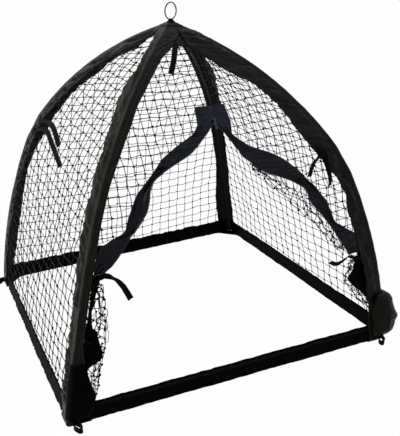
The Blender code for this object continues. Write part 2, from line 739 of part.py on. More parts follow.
# Zip slider, pull and top stop, in the plane of the closed length of the zip

middle_depth = (TAPE_IN + TAPE_OUT) / 2
zip_low = face_point(0, q_vertex, ZIP_SPLIT, middle_depth)
zip_high = face_point(0, q_top, ZIP_SPLIT, middle_depth)
zip_up = unit(zip_high - zip_low)
zip_length = np.linalg.norm(zip_high - zip_low)
zip_out = face_frame(0, (q_top + q_vertex) / 2)[3]
zip_out = unit(zip_out - zip_up * (zip_out @ zip_up))
zip_side = np.cross(zip_up, zip_out)
zip_axes = (zip_side, zip_up, zip_out)
neck = ZIP_SEAM / 2 - GAP
plate_in = TAPE_THICKNESS / 2 + GAP
plate_out = plate_in + SLIDER_PLATE
bar_height = plate_out + 0.0022
wide, tall = SLIDER_WIDTH / 2, SLIDER_LENGTH / 2
post_in, post_out = PULL_WIDTH / 2 + GAP, PULL_WIDTH / 2 + GAP + BAR
slider_at = zip_low + zip_up * (tall * 0.6)
slider_blocks = [
    ((-wide, -tall, plate_in), (wide, tall, plate_out)),
    ((-wide, -tall, -plate_out), (wide, tall, -plate_in)),
    ((-neck, -tall * 0.8, -plate_in - 0.0002), (neck, tall * 0.8, plate_in + 0.0002)),
    ((-post_out, -BAR, plate_out - 0.0002), (-post_in, BAR, bar_height + BAR / 2)),
    ((post_in, -BAR, plate_out - 0.0002), (post_out, BAR, bar_height + BAR / 2)),
    (
        (-post_out + 0.0001, -BAR / 2, bar_height - BAR / 2 + 0.00005),
        (post_out - 0.0001, BAR / 2, bar_height + BAR / 2 - 0.00005),
    ),
]
boxes("zip_slider", slider_at, zip_axes, slider_blocks, NICKEL)
eye = BAR / 2 + GAP
half_pull = PULL_WIDTH / 2
bar_at = slider_at + zip_out * bar_height
skin_eye = eye + 0.0006
eye_rings = []
for x, r in ((-half_pull, skin_eye), (half_pull, skin_eye), (half_pull, eye), (-half_pull, eye)):
    corners = ((-r, -r), (r, -r), (r, r), (-r, r))
    eye_rings.append([bar_at + zip_side * x + zip_up * a + zip_out * b for a, b in corners])
pull = loft("zip_pull", eye_rings, NICKEL, around=True)
tongue_low = -skin_eye - PULL_LENGTH
thin = PULL_THICKNESS / 2
tongue = boxes("zip_pull_tongue", bar_at, zip_axes,
               [((-half_pull * 0.9, tongue_low, -thin), (half_pull * 0.9, -eye - 0.0003, thin))], NICKEL)
tongue.hide_render = True
tongue.display_type = "WIRE"
joined = pull.modifiers.new("tongue", "BOOLEAN")
joined.operation = "UNION"
joined.solver = "EXACT"
joined.object = tongue
stop_at = zip_high - zip_up * 0.004
stop_blocks = [
    ((-0.0024, -0.0015, plate_in), (0.0024, 0.0015, plate_out)),
    ((-0.0024, -0.0015, -plate_out), (0.0024, 0.0015, -plate_in)),
    ((-neck, -0.0012, -plate_in - 0.0002), (neck, 0.0012, plate_in + 0.0002)),
]
boxes("zip_top_stop", stop_at, zip_axes, stop_blocks, NICKEL)
slider_travel = zip_length - 0.004 - 0.0015 - tall * 1.6 - 0.0005
print("SLIDER axis", zip_up.round(5).tolist(), "travel", round(slider_travel, 4))
print("PULL pivot", bar_at.round(5).tolist(), "axis", zip_side.round(5).tolist())


# Tied-back door flaps: gathered net behind the edge of each front sleeve, held by a tape at its neck

NECK_LEFT = 0.011
NECK_RIGHT = 0.013
NECK_THICK = 0.0042
FLAP_TUCK = 0.005
TIE_ROOM = TIE_THICKNESS + 2 * GAP + 0.0003


def flap_centre(leg, height, near, far, thick, below):
    """A place for an oval of gathered net whose top just meets the inside of the flange's edge."""
    q = station_of(0, height, 0.02 if leg == 0 else 0.98)
    here, there, across, outward = face_frame(0, q)
    start, direction = (here, across) if leg == 0 else (there, -across)
    edge = flange_width(leg, 1 - leg, q)[0]
    middle, half = edge - FLAP_TUCK + (near + far) / 2, (far - near) / 2
    lean = min(max((edge - middle) / half, -0.95), 0.95)
    depth = NET_OUT - below - thick * math.sqrt(1 - lean**2)
    return start + direction * middle + outward * depth, direction, outward, half


def flap(name, leg, rows, look):
    rings = []
    for height, near, far, thick, below in rows:
        centre, direction, outward, half = flap_centre(leg, height, near, far, thick, below)
        turns = [2 * math.pi * (k + 0.5) / 10 for k in range(10)]
        rings.append([centre + direction * half * math.cos(a) + outward * thick * math.sin(a) for a in turns])
    return loft(name, rings, look)


flap("door_flap_left", 0, (
    (0.4396, 0.0, 0.022, 0.0030, 0.0008),
    (0.4140, 0.0, NECK_LEFT, NECK_THICK, TIE_ROOM),
    (0.3902, 0.0, NECK_LEFT, NECK_THICK, TIE_ROOM),
    (0.3544, 0.0, 0.027, 0.0070, 0.0),
    (0.2794, 0.0, 0.033, 0.0080, 0.0),
    (0.2045, 0.0, 0.032, 0.0075, 0.0),
    (0.1431, 0.0, 0.028, 0.0060, 0.0),
    (0.0750, 0.0, 0.022, 0.0040, 0.0),
), NETTING)
flap("door_flap_right", 1, (
    (0.3203, 0.0, 0.024, 0.0030, 0.0008),
    (0.3016, 0.0, NECK_RIGHT, NECK_THICK, TIE_ROOM),
    (0.2777, 0.0, NECK_RIGHT, NECK_THICK, TIE_ROOM),
    (0.2522, 0.0, 0.032, 0.0065, 0.0),
    (0.2215, 0.0, 0.034, 0.0075, 0.0),
    (0.1704, 0.0, 0.022, 0.0065, 0.0),
    (0.1295, 0.0, 0.012, 0.0045, 0.0),
), NETTING)


# Flap hems: the flaps' folded lower hems, bunched against the outside of the front corners

HEM_EDGE = 0.0080


def hem(name, leg, rows, look):
    """Rows of (height, reach along the face behind, reach along the face ahead, thickness at the corner)."""
    rings = []
    for height, reach_behind, reach_ahead, thick in rows:
        q = station_of(0, height, 0.0 if leg == 0 else 1.0)
        place, normal, side, ridge, _ = section_angles(leg, q)
        ahead, behind = face_frame(leg, q), face_frame((leg - 1) % 4, q)
        inner, outer = [], []
        edge = SKIN + GAP + min(thick, HEM_EDGE)
        for layer, depth, ends in ((inner, SKIN + GAP, SKIN + GAP), (outer, SKIN + GAP + thick, edge)):
            layer.append(place + behind[3] * ends - behind[2] * reach_behind)
            for a in ridge:
                layer.append(place + depth * (normal * math.cos(a) + side * math.sin(a)))
            layer.append(place + ahead[3] * ends + ahead[2] * reach_ahead)
        rings.append(inner + outer[::-1])
    return loft(name, rings, look)


hem_low = (FOOT_Z + PEG_HEIGHT + 2 * GAP) / PEAK_HEIGHT
hem("flap_hem_left", 0, (
    (hem_low, 0.002, 0.032, 0.0045),
    (0.0480, 0.002, 0.036, 0.0075),
    (0.0820, 0.002, 0.039, 0.0080),
    (0.1056, 0.002, 0.031, 0.0075),
    (0.1450, 0.002, 0.021, 0.0060),
    (0.1820, 0.002, 0.015, 0.0035),
), BAND_CLOTH)
hem("flap_hem_right", 1, (
    (hem_low, 0.024, 0.008, 0.0060),
    (0.0390, 0.028, 0.012, 0.0170),
    (0.0850, 0.028, 0.018, 0.0260),
    (0.1180, 0.024, 0.018, 0.0235),
    (0.1500, 0.016, 0.012, 0.0150),
    (0.1640, 0.012, 0.006, 0.0055),
), BAND_CLOTH)


# Flap ties: a tape round the neck of each gathered flap, with its tail hanging in the doorway

def flap_tie(name, leg, height, reach, tail):
    q = station_of(0, height, 0.02 if leg == 0 else 0.98)
    along = frame(leg, q)[1]
    centre, direction, outward, half = flap_centre(leg, height, 0.0, reach, NECK_THICK, TIE_ROOM)
    half += GAP + TIE_THICKNESS / 2 + 0.0003
    deep = NECK_THICK + GAP + TIE_THICKNESS / 2 + 0.0003
    path = []
    for k in range(11):
        a = math.radians(75 - 31 * k)
        path.append(centre + direction * half * math.cos(a) + outward * deep * math.sin(a))
    path.reverse()
    sides = [along] * 11
    for share, low, out in tail:
        q_tail = station_of(0, low, share)
        path.append(face_point(0, q_tail, share, out))
        sides.append(unit(along + direction * 0.5))
    return ribbon(name, path, sides, TIE_WIDTH, TIE_THICKNESS, WEBBING)


LEFT_TAIL = ((0.052, 0.4170, 0.0080), (0.078, 0.4060, 0.010), (0.110, 0.3738, 0.009), (0.137, 0.3328, 0.008))
RIGHT_TAIL = ((0.884, 0.3014, 0.007), (0.854, 0.2954, 0.009), (0.824, 0.3056, 0.008))
flap_tie("flap_tie_left", 0, 0.4021, NECK_LEFT, LEFT_TAIL)
flap_tie("flap_tie_right", 1, 0.2897, NECK_RIGHT, RIGHT_TAIL)


# Loose tie tapes: sewn to a flange at the top and lying on the netting, free to lift away

def loose_tie(name, side, top, bottom, width, depth=SKIN + GAP):
    q_start, q_end = station_of(side, top[1], top[0]), station_of(side, bottom[1], bottom[0])
    path = []
    for q in between(q_start, q_end):
        share = top[0] + (bottom[0] - top[0]) * (q - q_start) / (q_end - q_start)
        path.append(face_point(side, q, share, depth + TIE_THICKNESS / 2))
    run = unit(path[-1] - path[0])
    outward = face_frame(side, q_start)[3]
    across = unit(np.cross(run, outward))
    ribbon(name, path, across, width, TIE_THICKNESS, WEBBING)
    pivot = path[0] - unit(np.cross(across, run)) * TIE_THICKNESS / 2
    if (pivot - path[0]) @ outward > 0:
        pivot = 2 * path[0] - pivot
    print("PIVOT", name, pivot.round(5).tolist(), "axis", across.round(5).tolist())


loose_tie("tie_peak", 0, (0.300, 0.9422), (0.238, 0.8724), TIE_WIDTH * 0.9)
loose_tie("tie_front_right_short", 0, (0.918, 0.6407), (0.830, 0.5691), TIE_WIDTH * 0.45)
loose_tie("tie_front_right_long", 0, (0.955, 0.6338), (0.915, 0.5214), TIE_WIDTH)
loose_tie("tie_back_left_short", 3, (0.060, 0.6679), (0.205, 0.6236), TIE_WIDTH * 0.8)
loose_tie("tie_back_left_long", 3, (0.050, 0.6304), (0.200, 0.5623), TIE_WIDTH * 0.8)

names = sorted(o.name for o in bpy.data.objects if not o.hide_render)
corners = [o.matrix_world @ v.co for o in bpy.data.objects if not o.hide_render for v in o.data.vertices]
low = [min(c[k] for c in corners) for k in range(3)]
high = [max(c[k] for c in corners) for k in range(3)]
print("NODES", len(names), "BOX", [round(v, 4) for v in low], [round(v, 4) for v in high])
print("RING pivot", [HUB_X, 0, round(wire_z, 5)], "axis", along_ring.round(5).tolist())
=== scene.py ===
import math

import bmesh
import bpy
import numpy as np
from mathutils import Matrix, Vector


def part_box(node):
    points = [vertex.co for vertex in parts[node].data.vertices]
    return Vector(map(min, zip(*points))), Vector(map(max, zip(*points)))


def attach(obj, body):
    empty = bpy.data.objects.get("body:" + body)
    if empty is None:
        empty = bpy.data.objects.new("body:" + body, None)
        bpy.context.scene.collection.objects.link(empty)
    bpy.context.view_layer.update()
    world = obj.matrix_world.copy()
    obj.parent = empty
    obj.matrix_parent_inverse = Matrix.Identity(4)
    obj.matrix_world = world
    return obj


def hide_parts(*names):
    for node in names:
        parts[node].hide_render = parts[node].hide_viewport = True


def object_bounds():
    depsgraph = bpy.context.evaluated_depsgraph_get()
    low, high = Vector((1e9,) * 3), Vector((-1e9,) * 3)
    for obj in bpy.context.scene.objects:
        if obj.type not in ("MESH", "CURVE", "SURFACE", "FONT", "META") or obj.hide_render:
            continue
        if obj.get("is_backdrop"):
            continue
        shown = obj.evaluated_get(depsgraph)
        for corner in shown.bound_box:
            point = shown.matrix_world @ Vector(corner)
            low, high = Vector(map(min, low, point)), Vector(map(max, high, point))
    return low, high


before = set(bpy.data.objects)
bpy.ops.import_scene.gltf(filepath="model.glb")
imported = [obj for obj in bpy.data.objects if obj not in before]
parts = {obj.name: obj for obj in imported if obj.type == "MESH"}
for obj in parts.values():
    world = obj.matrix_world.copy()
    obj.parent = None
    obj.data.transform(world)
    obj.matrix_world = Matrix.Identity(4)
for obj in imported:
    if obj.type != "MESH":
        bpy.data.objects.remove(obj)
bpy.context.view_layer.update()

# Poles: four arched glass-fibre rods, each in two lengths that meet in a zinc-plated steel ferrule.
# They are sprung into the hub at the peak and stand in moulded nylon tips at the corners. The cover
# follows them, so the line of each pole is worked out here and every cloth piece takes its place from it.
LEGS = ("front_left", "front_right", "back_right", "back_left")
LEG_AZIMUTH = np.radians((-135.0, -45.0, 45.0, 135.0))
FOOT_SHIFT = ((-0.021, 0.011), (0.0, -0.003), (-0.001, 0.004), (0.002, -0.021))
SIDE_BOW = (0.011, 0.003, 0.017, -0.002)
HUB_X = 0.004
PEAK_HEIGHT = 0.5869
BASE_SIDE = 0.61
HUB_SLOPE, FERRULE_SLOPE, FOOT_SLOPE, KINK = np.radians((19.9, 57.8, 85.4, 7.07))
TUNNEL_START, SOCKET_RUN, FERRULE_RUN = 0.0145, 0.038, 0.056
SKIN = 0.0057
FOOT_Z, BAND_TOP = 0.0015, 0.0355
UP = np.array([0.0, 0.0, 1.0])
STATIONS = np.linspace(0.0, 21.0, 2101)


def unit(v):
    return v / np.linalg.norm(v, axis=-1, keepdims=True)


def smoothed(values, reach):
    """Running mean over as many values to either side."""
    return np.convolve(np.pad(values, reach, mode="edge"), np.ones(2 * reach + 1) / (2 * reach + 1), mode="valid")


def ridge_line(leg):
    """Pole axis, direction and outward normal at every station: socket, upper bend, ferrule, lower bend."""
    out = np.array([math.cos(LEG_AZIMUTH[leg]), math.sin(LEG_AZIMUTH[leg]), 0.0])
    aside = np.array([-out[1], out[0], 0.0])
    corner = np.array([
        math.copysign(BASE_SIDE / 2, out[0]) + FOOT_SHIFT[leg][0],
        math.copysign(BASE_SIDE / 2, out[1]) + FOOT_SHIFT[leg][1],
        0.0,
    ])
    reach, lateral = corner @ out, corner @ aside
    over, under = FERRULE_SLOPE - KINK, FERRULE_SLOPE + KINK
    sin, cos = np.sin, np.cos
    bends = [
        [sin(over) - sin(HUB_SLOPE), sin(FOOT_SLOPE) - sin(under)],
        [cos(HUB_SLOPE) - cos(over), cos(under) - cos(FOOT_SLOPE)],
    ]
    runs = [
        reach - SOCKET_RUN * cos(HUB_SLOPE) - FERRULE_RUN * cos(FERRULE_SLOPE),
        PEAK_HEIGHT - SOCKET_RUN * sin(HUB_SLOPE) - FERRULE_RUN * sin(FERRULE_SLOPE),
    ]
    upper, lower = np.linalg.solve(bends, runs)
    q = STATIONS
    straight = TUNNEL_START + (SOCKET_RUN - TUNNEL_START) * np.minimum(q, 1)
    first = HUB_SLOPE + (over - HUB_SLOPE) * np.clip((q - 1) / 9, 0, 1)
    ferrule = FERRULE_RUN * np.clip(q - 10, 0, 1)
    r = straight * cos(HUB_SLOPE) + upper * (sin(first) - sin(HUB_SLOPE)) + ferrule * cos(FERRULE_SLOPE)
    z = PEAK_HEIGHT - straight * sin(HUB_SLOPE) - upper * (cos(HUB_SLOPE) - cos(first))
    z = z - ferrule * sin(FERRULE_SLOPE)
    top = math.acos(cos(under) - (z[-1] - BAND_TOP) / lower)
    foot = math.acos(cos(under) - (z[-1] - FOOT_Z) / lower)
    second = under + (top - under) * np.clip((q - 11) / 9, 0, 1) + (foot - top) * np.clip(q - 20, 0, 1)
    r = r + lower * (sin(second) - sin(under))
    z = z - lower * (cos(under) - cos(second))
    length = straight + upper * (first - HUB_SLOPE) + ferrule + lower * (second - under)
    total = SOCKET_RUN + upper * (over - HUB_SLOPE) + FERRULE_RUN + lower * (FOOT_SLOPE - under)
    share = length / total
    side = lateral * share**2 + SIDE_BOW[leg] * 4 * share * (1 - share)
    place = np.array([HUB_X, 0, 0]) + out * r[:, None] + aside * side[:, None] + UP * z[:, None]
    along = unit(np.gradient(place, axis=0))
    slope = smoothed(np.arcsin(-along[:, 2]), 15)
    normal = out * np.sin(slope)[:, None] + UP * np.cos(slope)[:, None]
    normal = unit(normal - along * (normal * along).sum(1)[:, None])
    return place - normal * SKIN, along, normal, length


RIDGES = [ridge_line(leg) for leg in range(4)]


def colour(code):
    """Linear colour of an sRGB hex value."""
    channels = [int(code[k:k + 2], 16) / 255 for k in (1, 3, 5)]
    return (*(c / 12.92 if c <= 0.04045 else ((c + 0.055) / 1.055) ** 2.4 for c in channels), 1.0)


def add(tree, kind, links=None, values=None, **settings):
    """Adds one node with its settings, its socket values and its links."""
    made = tree.nodes.new(kind)
    for key, value in settings.items():
        setattr(made, key, value)
    for key, value in (values or {}).items():
        made.inputs[key].default_value = value
    for key, source in (links or {}).items():
        tree.links.new(source, made.inputs[key])
    return made


def material(name, base, roughness, grain=None, tints=None, rough=None, bump=None, relief=None, stretch=None,
             texture=("Noise", {}), **sockets):
    """A procedural material. A grain in object space varies its colour, its roughness and, by bump's strength and
    distance, its height; relief(tree) gives the normals of a finer pattern below that."""
    made = bpy.data.materials.new(name)
    made.use_nodes = True
    tree = made.node_tree
    shader = tree.nodes["Principled BSDF"]
    for key, value in {"base_color": colour(base), "roughness": roughness, **sockets}.items():
        shader.inputs[key.replace("_", " ").title().replace("Ior", "IOR")].default_value = value
    if not grain:
        return made
    place = add(tree, "ShaderNodeTexCoord").outputs["Object"]
    if stretch:
        place = add(tree, "ShaderNodeMapping", {"Vector": place}, {"Scale": stretch}).outputs[0]
    share = add(tree, "ShaderNodeTex" + texture[0], {"Vector": place}, grain, **texture[1]).outputs["Fac"]
    if tints:
        tint = add(tree, "ShaderNodeMix", {0: share}, {6: colour(tints[0]), 7: colour(tints[1])}, data_type="RGBA")
        tree.links.new(tint.outputs[2], shader.inputs["Base Color"])
    if rough:
        shine = add(tree, "ShaderNodeMapRange", {0: share}, {3: rough[0], 4: rough[1]})
        tree.links.new(shine.outputs[0], shader.inputs["Roughness"])
    links = {"Normal": relief(tree)} if relief else {}
    if bump:
        raised = add(tree, "ShaderNodeBump", {"Height": share, **links}, {"Strength": bump[0], "Distance": bump[1]})
        links = {"Normal": raised.outputs[0]}
    for key, source in links.items():
        tree.links.new(source, shader.inputs[key])
    return made


def dress(node, look):
    """Gives a CAD node its material."""
    parts[node].data.materials.clear()
    parts[node].data.materials.append(look)


# Pultruded glass fibre: dark resin with glass strands along the rod, which show as fine long streaks.
glass_fibre = material(
    "pultruded_glass_fibre", "#26282a", 0.42, {"Scale": 1.0, "Detail": 2.0}, ("#1c1d1f", "#3a3c3e"),
    bump=(0.25, 0.0001), stretch=(2500, 2500, 90), coat_weight=0.3)

# Zinc-plated steel tube: bright grey with a slightly cloudy, spangled plating.
zinc_plate = material("zinc_plated_steel_tube", "#a9abab", 0.34, {"Scale": 900.0, "Detail": 3.0},
                      ("#94979a", "#b9bab7"), (0.26, 0.46), metallic=1.0)

# Moulded nylon: black, with the fine spark-eroded texture of the mould.
nylon = material("moulded_nylon", "#141415", 0.52, {"Scale": 2500.0, "Detail": 2.0}, rough=(0.44, 0.6),
                 bump=(0.3, 0.0001))

for leg in LEGS:
    for piece, look in (("rod_upper_", glass_fibre), ("rod_lower_", glass_fibre), ("ferrule_", zinc_plate),
                        ("rod_tip_", nylon)):
        dress(piece + leg, look)

# Hub: one nylon moulding with four sloped sockets, hidden under the cloth at the peak.
dress("hub", nylon)

# Leg sleeves: strips of black polyester folded over each pole, with a sewn channel for it inside and a
# flange along each face that the netting is sewn to. The strips are cut straight, so on the arch their
# inner edges gather, and creases run slantwise from the channel's seam to the hem.
FLANGE, FLANGE_LEAST = 0.032, 0.006
# How much of each flange shows down its leg, by the leg and the one that it reaches towards: pairs of a height,
# as a share of the peak's, and a share of FLANGE. The rest is turned under or pulled round the pole.
FLANGE_SHARES = {
    (0, 1): ((0.18, 0.41), (0.23, 0.19), (0.6, 0.19), (0.66, 0.24), (0.76, 0.33), (0.8, 0.29), (0.83, 0.38),
             (0.9, 0.52), (0.92, 0.68), (0.95, 0.74)),
    (0, 3): ((0.31, 0.88), (0.44, 1.16), (0.66, 1.0), (0.72, 1.04), (0.75, 0.98), (0.78, 1.16), (0.82, 1.12),
             (0.85, 0.84), (0.87, 0.5)),
    (1, 0): ((0.45, 1.0), (0.5, 0.8), (0.54, 0.95), (0.62, 1.35), (0.69, 1.35), (0.77, 1.12), (0.82, 1.16),
             (0.86, 1.64), (0.93, 1.64)),
    (2, 1): ((0.25, 0.41), (0.5, 0.56), (0.7, 0.94), (0.78, 1.3), (0.82, 0.94), (0.9, 0.41)),
    (2, 3): ((0.18, 0.88), (0.26, 0.63), (0.35, 0.41)),
    (3, 0): ((0.3, 1.0), (0.45, 1.0), (0.56, 1.25), (0.74, 1.3), (0.81, 1.2), (0.9, 1.35), (0.95, 1.2)),
    (3, 2): ((0.08, 0.58), (0.17, 0.72), (0.27, 0.77), (0.38, 0.66), (0.46, 0.58), (0.52, 0.68), (0.59, 0.98),
             (0.74, 0.98), (0.79, 1.14), (0.85, 1.29), (0.89, 1.48), (0.91, 1.41), (0.94, 1.15)),
}
CHANNEL_SEAM, HEM = 0.0075, 0.006
CLOTH = 0.0009
SLEEVE_ROWS, FLANGE_COLUMNS, RIDGE_COLUMNS = 330, 16, 9


def at_station(values, q):
    """Rows of a table over STATIONS, read at stations q."""
    return np.stack([np.interp(q, STATIONS, values[:, k]) for k in range(values.shape[1])], axis=-1)


def pole_frame(leg, q):
    """Pole axis, direction and outward normal at stations q."""
    axis, along, normal = (at_station(values, q) for values in RIDGES[leg][:3])
    return axis, unit(along), unit(normal)


def face_frame(side, q):
    """The face between two legs: both pole axes, the direction across and the outward normal."""
    here, along_here, normal_here = pole_frame(side, q)
    there, along_there, normal_there = pole_frame((side + 1) % 4, q)
    across = unit(there - here)
    outward = 0
    for along, normal in ((along_here, normal_here), (along_there, normal_there)):
        n = np.cross(across, along)
        outward = outward + unit(n) * np.sign((n * normal).sum(-1, keepdims=True))
    return here, there, across, unit(outward)


def corner_frame(leg, q):
    """Pole axis, normal and sideways direction, then (across, outward) of the face behind and of the one ahead."""
    axis, along, normal = pole_frame(leg, q)
    behind, ahead = face_frame((leg - 1) % 4, q)[2:], face_frame(leg, q)[2:]
    aside = np.cross(normal, along)
    return axis, normal, aside * np.sign((aside * ahead[1]).sum(-1, keepdims=True)), behind, ahead


def turn_to(direction, normal, aside):
    """Angle round the pole, from its outward normal to a direction."""
    return np.arctan2((direction * aside).sum(-1), (direction * normal).sum(-1))


def flange_reach(leg, towards, q):
    """How far a leg's flange reaches along the face towards another leg."""
    place, along, _ = pole_frame(leg, q)
    heights, shares = zip(*FLANGE_SHARES.get((leg, towards), ((0.0, 1.0),)))
    width = np.maximum(FLANGE * np.interp(place[..., 2] / PEAK_HEIGHT, heights, shares), FLANGE_LEAST)
    chord = pole_frame(towards, q)[0] - place
    across = unit(chord)
    skew = np.linalg.norm(across - along * (across * along).sum(-1, keepdims=True), axis=-1)
    return np.minimum(np.linalg.norm(chord, axis=-1) / 2 - 0.0003, width / skew)


def noise(x, y, seed):
    """Smooth random heights from -1 to 1, one lattice cell to the unit."""
    table = np.random.default_rng(seed).uniform(-1, 1, (64, 64))
    i, j = np.floor(x).astype(int), np.floor(y).astype(int)
    u, v = x - i, y - j
    u, v = u * u * (3 - 2 * u), v * v * (3 - 2 * v)
    a, b = table[i % 64, j % 64], table[(i + 1) % 64, j % 64]
    c, d = table[i % 64, (j + 1) % 64], table[(i + 1) % 64, (j + 1) % 64]
    return (a + (b - a) * u) * (1 - v) + (c + (d - c) * u) * v


def creases(x, y, seed):
    """Heights with soft backs and sharp valleys, as cloth creases."""
    return 1 - 2.2 * np.abs(noise(x, y, seed))


def smooth(x):
    """0 below 0, 1 above 1, and a soft step between."""
    x = np.clip(x, 0, 1)
    return x * x * (3 - 2 * x)


def widths(surface):
    """Width of a surface at each of its rows."""
    return np.linalg.norm(np.diff(surface, axis=1), axis=2).sum(axis=1)


def put(name, data):
    """A new object in the scene."""
    made = bpy.data.objects.new(name, data)
    bpy.context.scene.collection.objects.link(made)
    return made


def cloth(name, surface, thickness, look, body="cage"):
    """A closed sheet of cloth from rows and columns of points. Its UV map is in metres, across and along."""
    surface = np.asarray(surface, float)
    rows, columns = surface.shape[:2]
    normal = np.cross(np.gradient(surface, axis=1), np.gradient(surface, axis=0))
    normal = normal / np.maximum(np.linalg.norm(normal, axis=2, keepdims=True), 1e-12)
    points = np.concatenate([surface + normal * thickness / 2, surface - normal * thickness / 2]).reshape(-1, 3)
    half = rows * columns
    grid = np.arange(half).reshape(rows, columns)
    top = np.stack([grid[:-1, :-1], grid[:-1, 1:], grid[1:, 1:], grid[1:, :-1]], axis=-1).reshape(-1, 4)
    edge = np.concatenate([grid[0, :], grid[1:, -1], grid[-1, -2::-1], grid[-2:0:-1, 0]])
    after = np.roll(edge, -1)
    faces = np.concatenate([top, top[:, ::-1] + half, np.stack([after, edge, edge + half, after + half], axis=-1)])
    tetra = points[faces]
    volume = (np.cross(tetra[:, 0], tetra[:, 1]) * tetra[:, 2]).sum()
    volume += (np.cross(tetra[:, 0], tetra[:, 2]) * tetra[:, 3]).sum()
    if volume < 0:
        faces = faces[:, ::-1]
    mesh = bpy.data.meshes.new(name)
    mesh.from_pydata(points.tolist(), [], faces.tolist())
    step_across = np.linalg.norm(np.diff(surface, axis=1), axis=2)
    u = np.concatenate([np.zeros((rows, 1)), np.cumsum(step_across, axis=1)], axis=1)
    step_along = np.linalg.norm(np.diff(surface, axis=0), axis=2).mean(axis=1)
    v = np.concatenate([[0.0], np.cumsum(step_along)])[:, None] + np.zeros((rows, columns))
    metres = np.tile(np.stack([u, v], axis=-1).reshape(-1, 2), (2, 1))
    corners = np.empty(len(mesh.loops), np.int32)
    mesh.loops.foreach_get("vertex_index", corners)
    mesh.uv_layers.new(name="metres").data.foreach_set("uv", metres[corners].ravel())
    mesh.polygons.foreach_set("use_smooth", np.ones(len(mesh.polygons), bool))
    mesh.materials.append(look)
    mesh.update()
    made = put(name, mesh)
    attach(made, body)
    return made


def woven(pitch, strength, distance, ribs=False):
    """Relief of a plain weave, or of a tape's ribs, read from the piece's own UV map in metres."""
    def relief(tree):
        metres = add(tree, "ShaderNodeSeparateXYZ", {0: add(tree, "ShaderNodeUVMap", uv_map="metres").outputs[0]})
        waves = []
        for axis in ("X", "Y"):
            turns = add(tree, "ShaderNodeMath", {0: metres.outputs[axis]}, {1: 2 * math.pi / pitch},
                        operation="MULTIPLY")
            waves.append(add(tree, "ShaderNodeMath", {0: turns.outputs[0]}, operation="SINE").outputs[0])
        both = add(tree, "ShaderNodeMath", {0: waves[0], 1: waves[1]}, operation="MULTIPLY").outputs[0]
        return add(tree, "ShaderNodeBump", {"Height": waves[1] if ribs else both},
                   {"Strength": strength, "Distance": distance}).outputs[0]
    return relief


# Plain-woven polyester, calendered on one face: dark charcoal with a soft sheen along the creases. The
# threads are 0.35 mm apart in the real cloth, drawn here at 0.8 mm so that they show.
polyester = material(
    "calendered_polyester_weave", "#121214", 0.36, {"Scale": 46.0, "Detail": 6.0, "Roughness": 0.62},
    ("#05050a", "#1f1d14"), (0.28, 0.46), (0.8, 0.0022), woven(0.0008, 0.22, 0.0001),
    specular_ior_level=0.06, sheen_weight=0.03, sheen_roughness=0.4, sheen_tint=colour("#b9bcc4"))

# The cloth's relief, in metres: slanting folds, fine creases, a slow swell, gathers at the channel's seam, the
# dips under the seam and the hem's stitches, the step of the doubled hem, and the gap that keeps it off the pole.
FOLD, CREASE, SWELL, GATHER = 0.0024, 0.0016, 0.0022, 0.0007
SEAM_DIP, HEM_DIP, HEM_STEP, CLEAR = 0.0004, 0.0003, 0.0004, 0.0002


def sleeve_surface(leg, q):
    """Rows of points from the hem of one flange, over the pole, to the hem of the other."""
    s = np.interp(q, STATIONS, RIDGES[leg][3])
    down = s[:, None]
    axis, normal, aside, behind, ahead = corner_frame(leg, q)
    share = np.linspace(1, 0, FLANGE_COLUMNS + 1)[:-1]
    calm = smooth((s - 0.03) / 0.03) * (1 - 0.7 * smooth((s - s[-1] + 0.04) / 0.02))
    flanges = []
    for (across, outward), sign, seed in ((behind, -1, 11), (ahead, 1, 23)):
        reach = flange_reach(leg, (leg + sign) % 4, q)
        wave = noise(s / 0.045, 0 * s + leg * 7.3, seed) * 0.0016
        wave = wave + noise(s / 0.012, 0 * s + leg * 3.1, seed + 1) * 0.0011
        edge = reach + wave * smooth((reach - 0.01) / 0.02) * smooth((s - 0.075) / 0.03)
        d = share[None, :] * edge[:, None]
        hem = d - edge[:, None] + HEM
        fold = creases(down / 0.019 + d / 0.026 * (1 + 0.4 * sign), d / 0.03 + leg * 9.7, seed + 2) * FOLD
        crease = creases(down / 0.0092 - d / 0.024 * sign, d / 0.05 + leg * 5.1, seed + 3) * CREASE
        swell = noise(down / 0.06 + leg, d / 0.05, seed + 4) * SWELL
        gather = creases(down / 0.0062 + d / 0.05, d / 0.05 + leg * 2.7, seed + 5) * GATHER
        free = smooth((d - CHANNEL_SEAM) / 0.01)
        pinned = 1 - 0.35 * smooth((d - edge[:, None] + 0.01) / 0.006)
        lift = (fold + crease) * (0.16 + 0.84 * free) * pinned + swell * free * 0.8
        lift = lift + gather * np.exp(-((d - CHANNEL_SEAM - 0.001) / 0.0045) ** 2)
        lift = lift - SEAM_DIP * np.exp(-((d - CHANNEL_SEAM) / 0.0011) ** 2)
        lift = lift - HEM_DIP * np.exp(-(hem / 0.0009) ** 2) + HEM_STEP * smooth(hem / 0.001)
        points = axis[:, None] + outward[:, None] * (SKIN + (lift * calm[:, None] + CLEAR))[..., None]
        points = points + across[:, None] * sign * d[..., None]
        flanges.append(points if sign < 0 else points[:, ::-1])
    part = np.linspace(0, 1, RIDGE_COLUMNS)[None, :]
    start, end = (turn_to(outward, normal, aside) for _, outward in (behind, ahead))
    angle = start[:, None] + (end - start)[:, None] * part
    over = SKIN + CLEAR + creases(down / 0.021 + part, part * 1.4 + leg * 4.3, 31) * 0.0003
    ridge = axis[:, None] + over[..., None] * (
        normal[:, None] * np.cos(angle)[..., None] + aside[:, None] * np.sin(angle)[..., None])
    return np.concatenate([flanges[0], ridge, flanges[1]], axis=1)


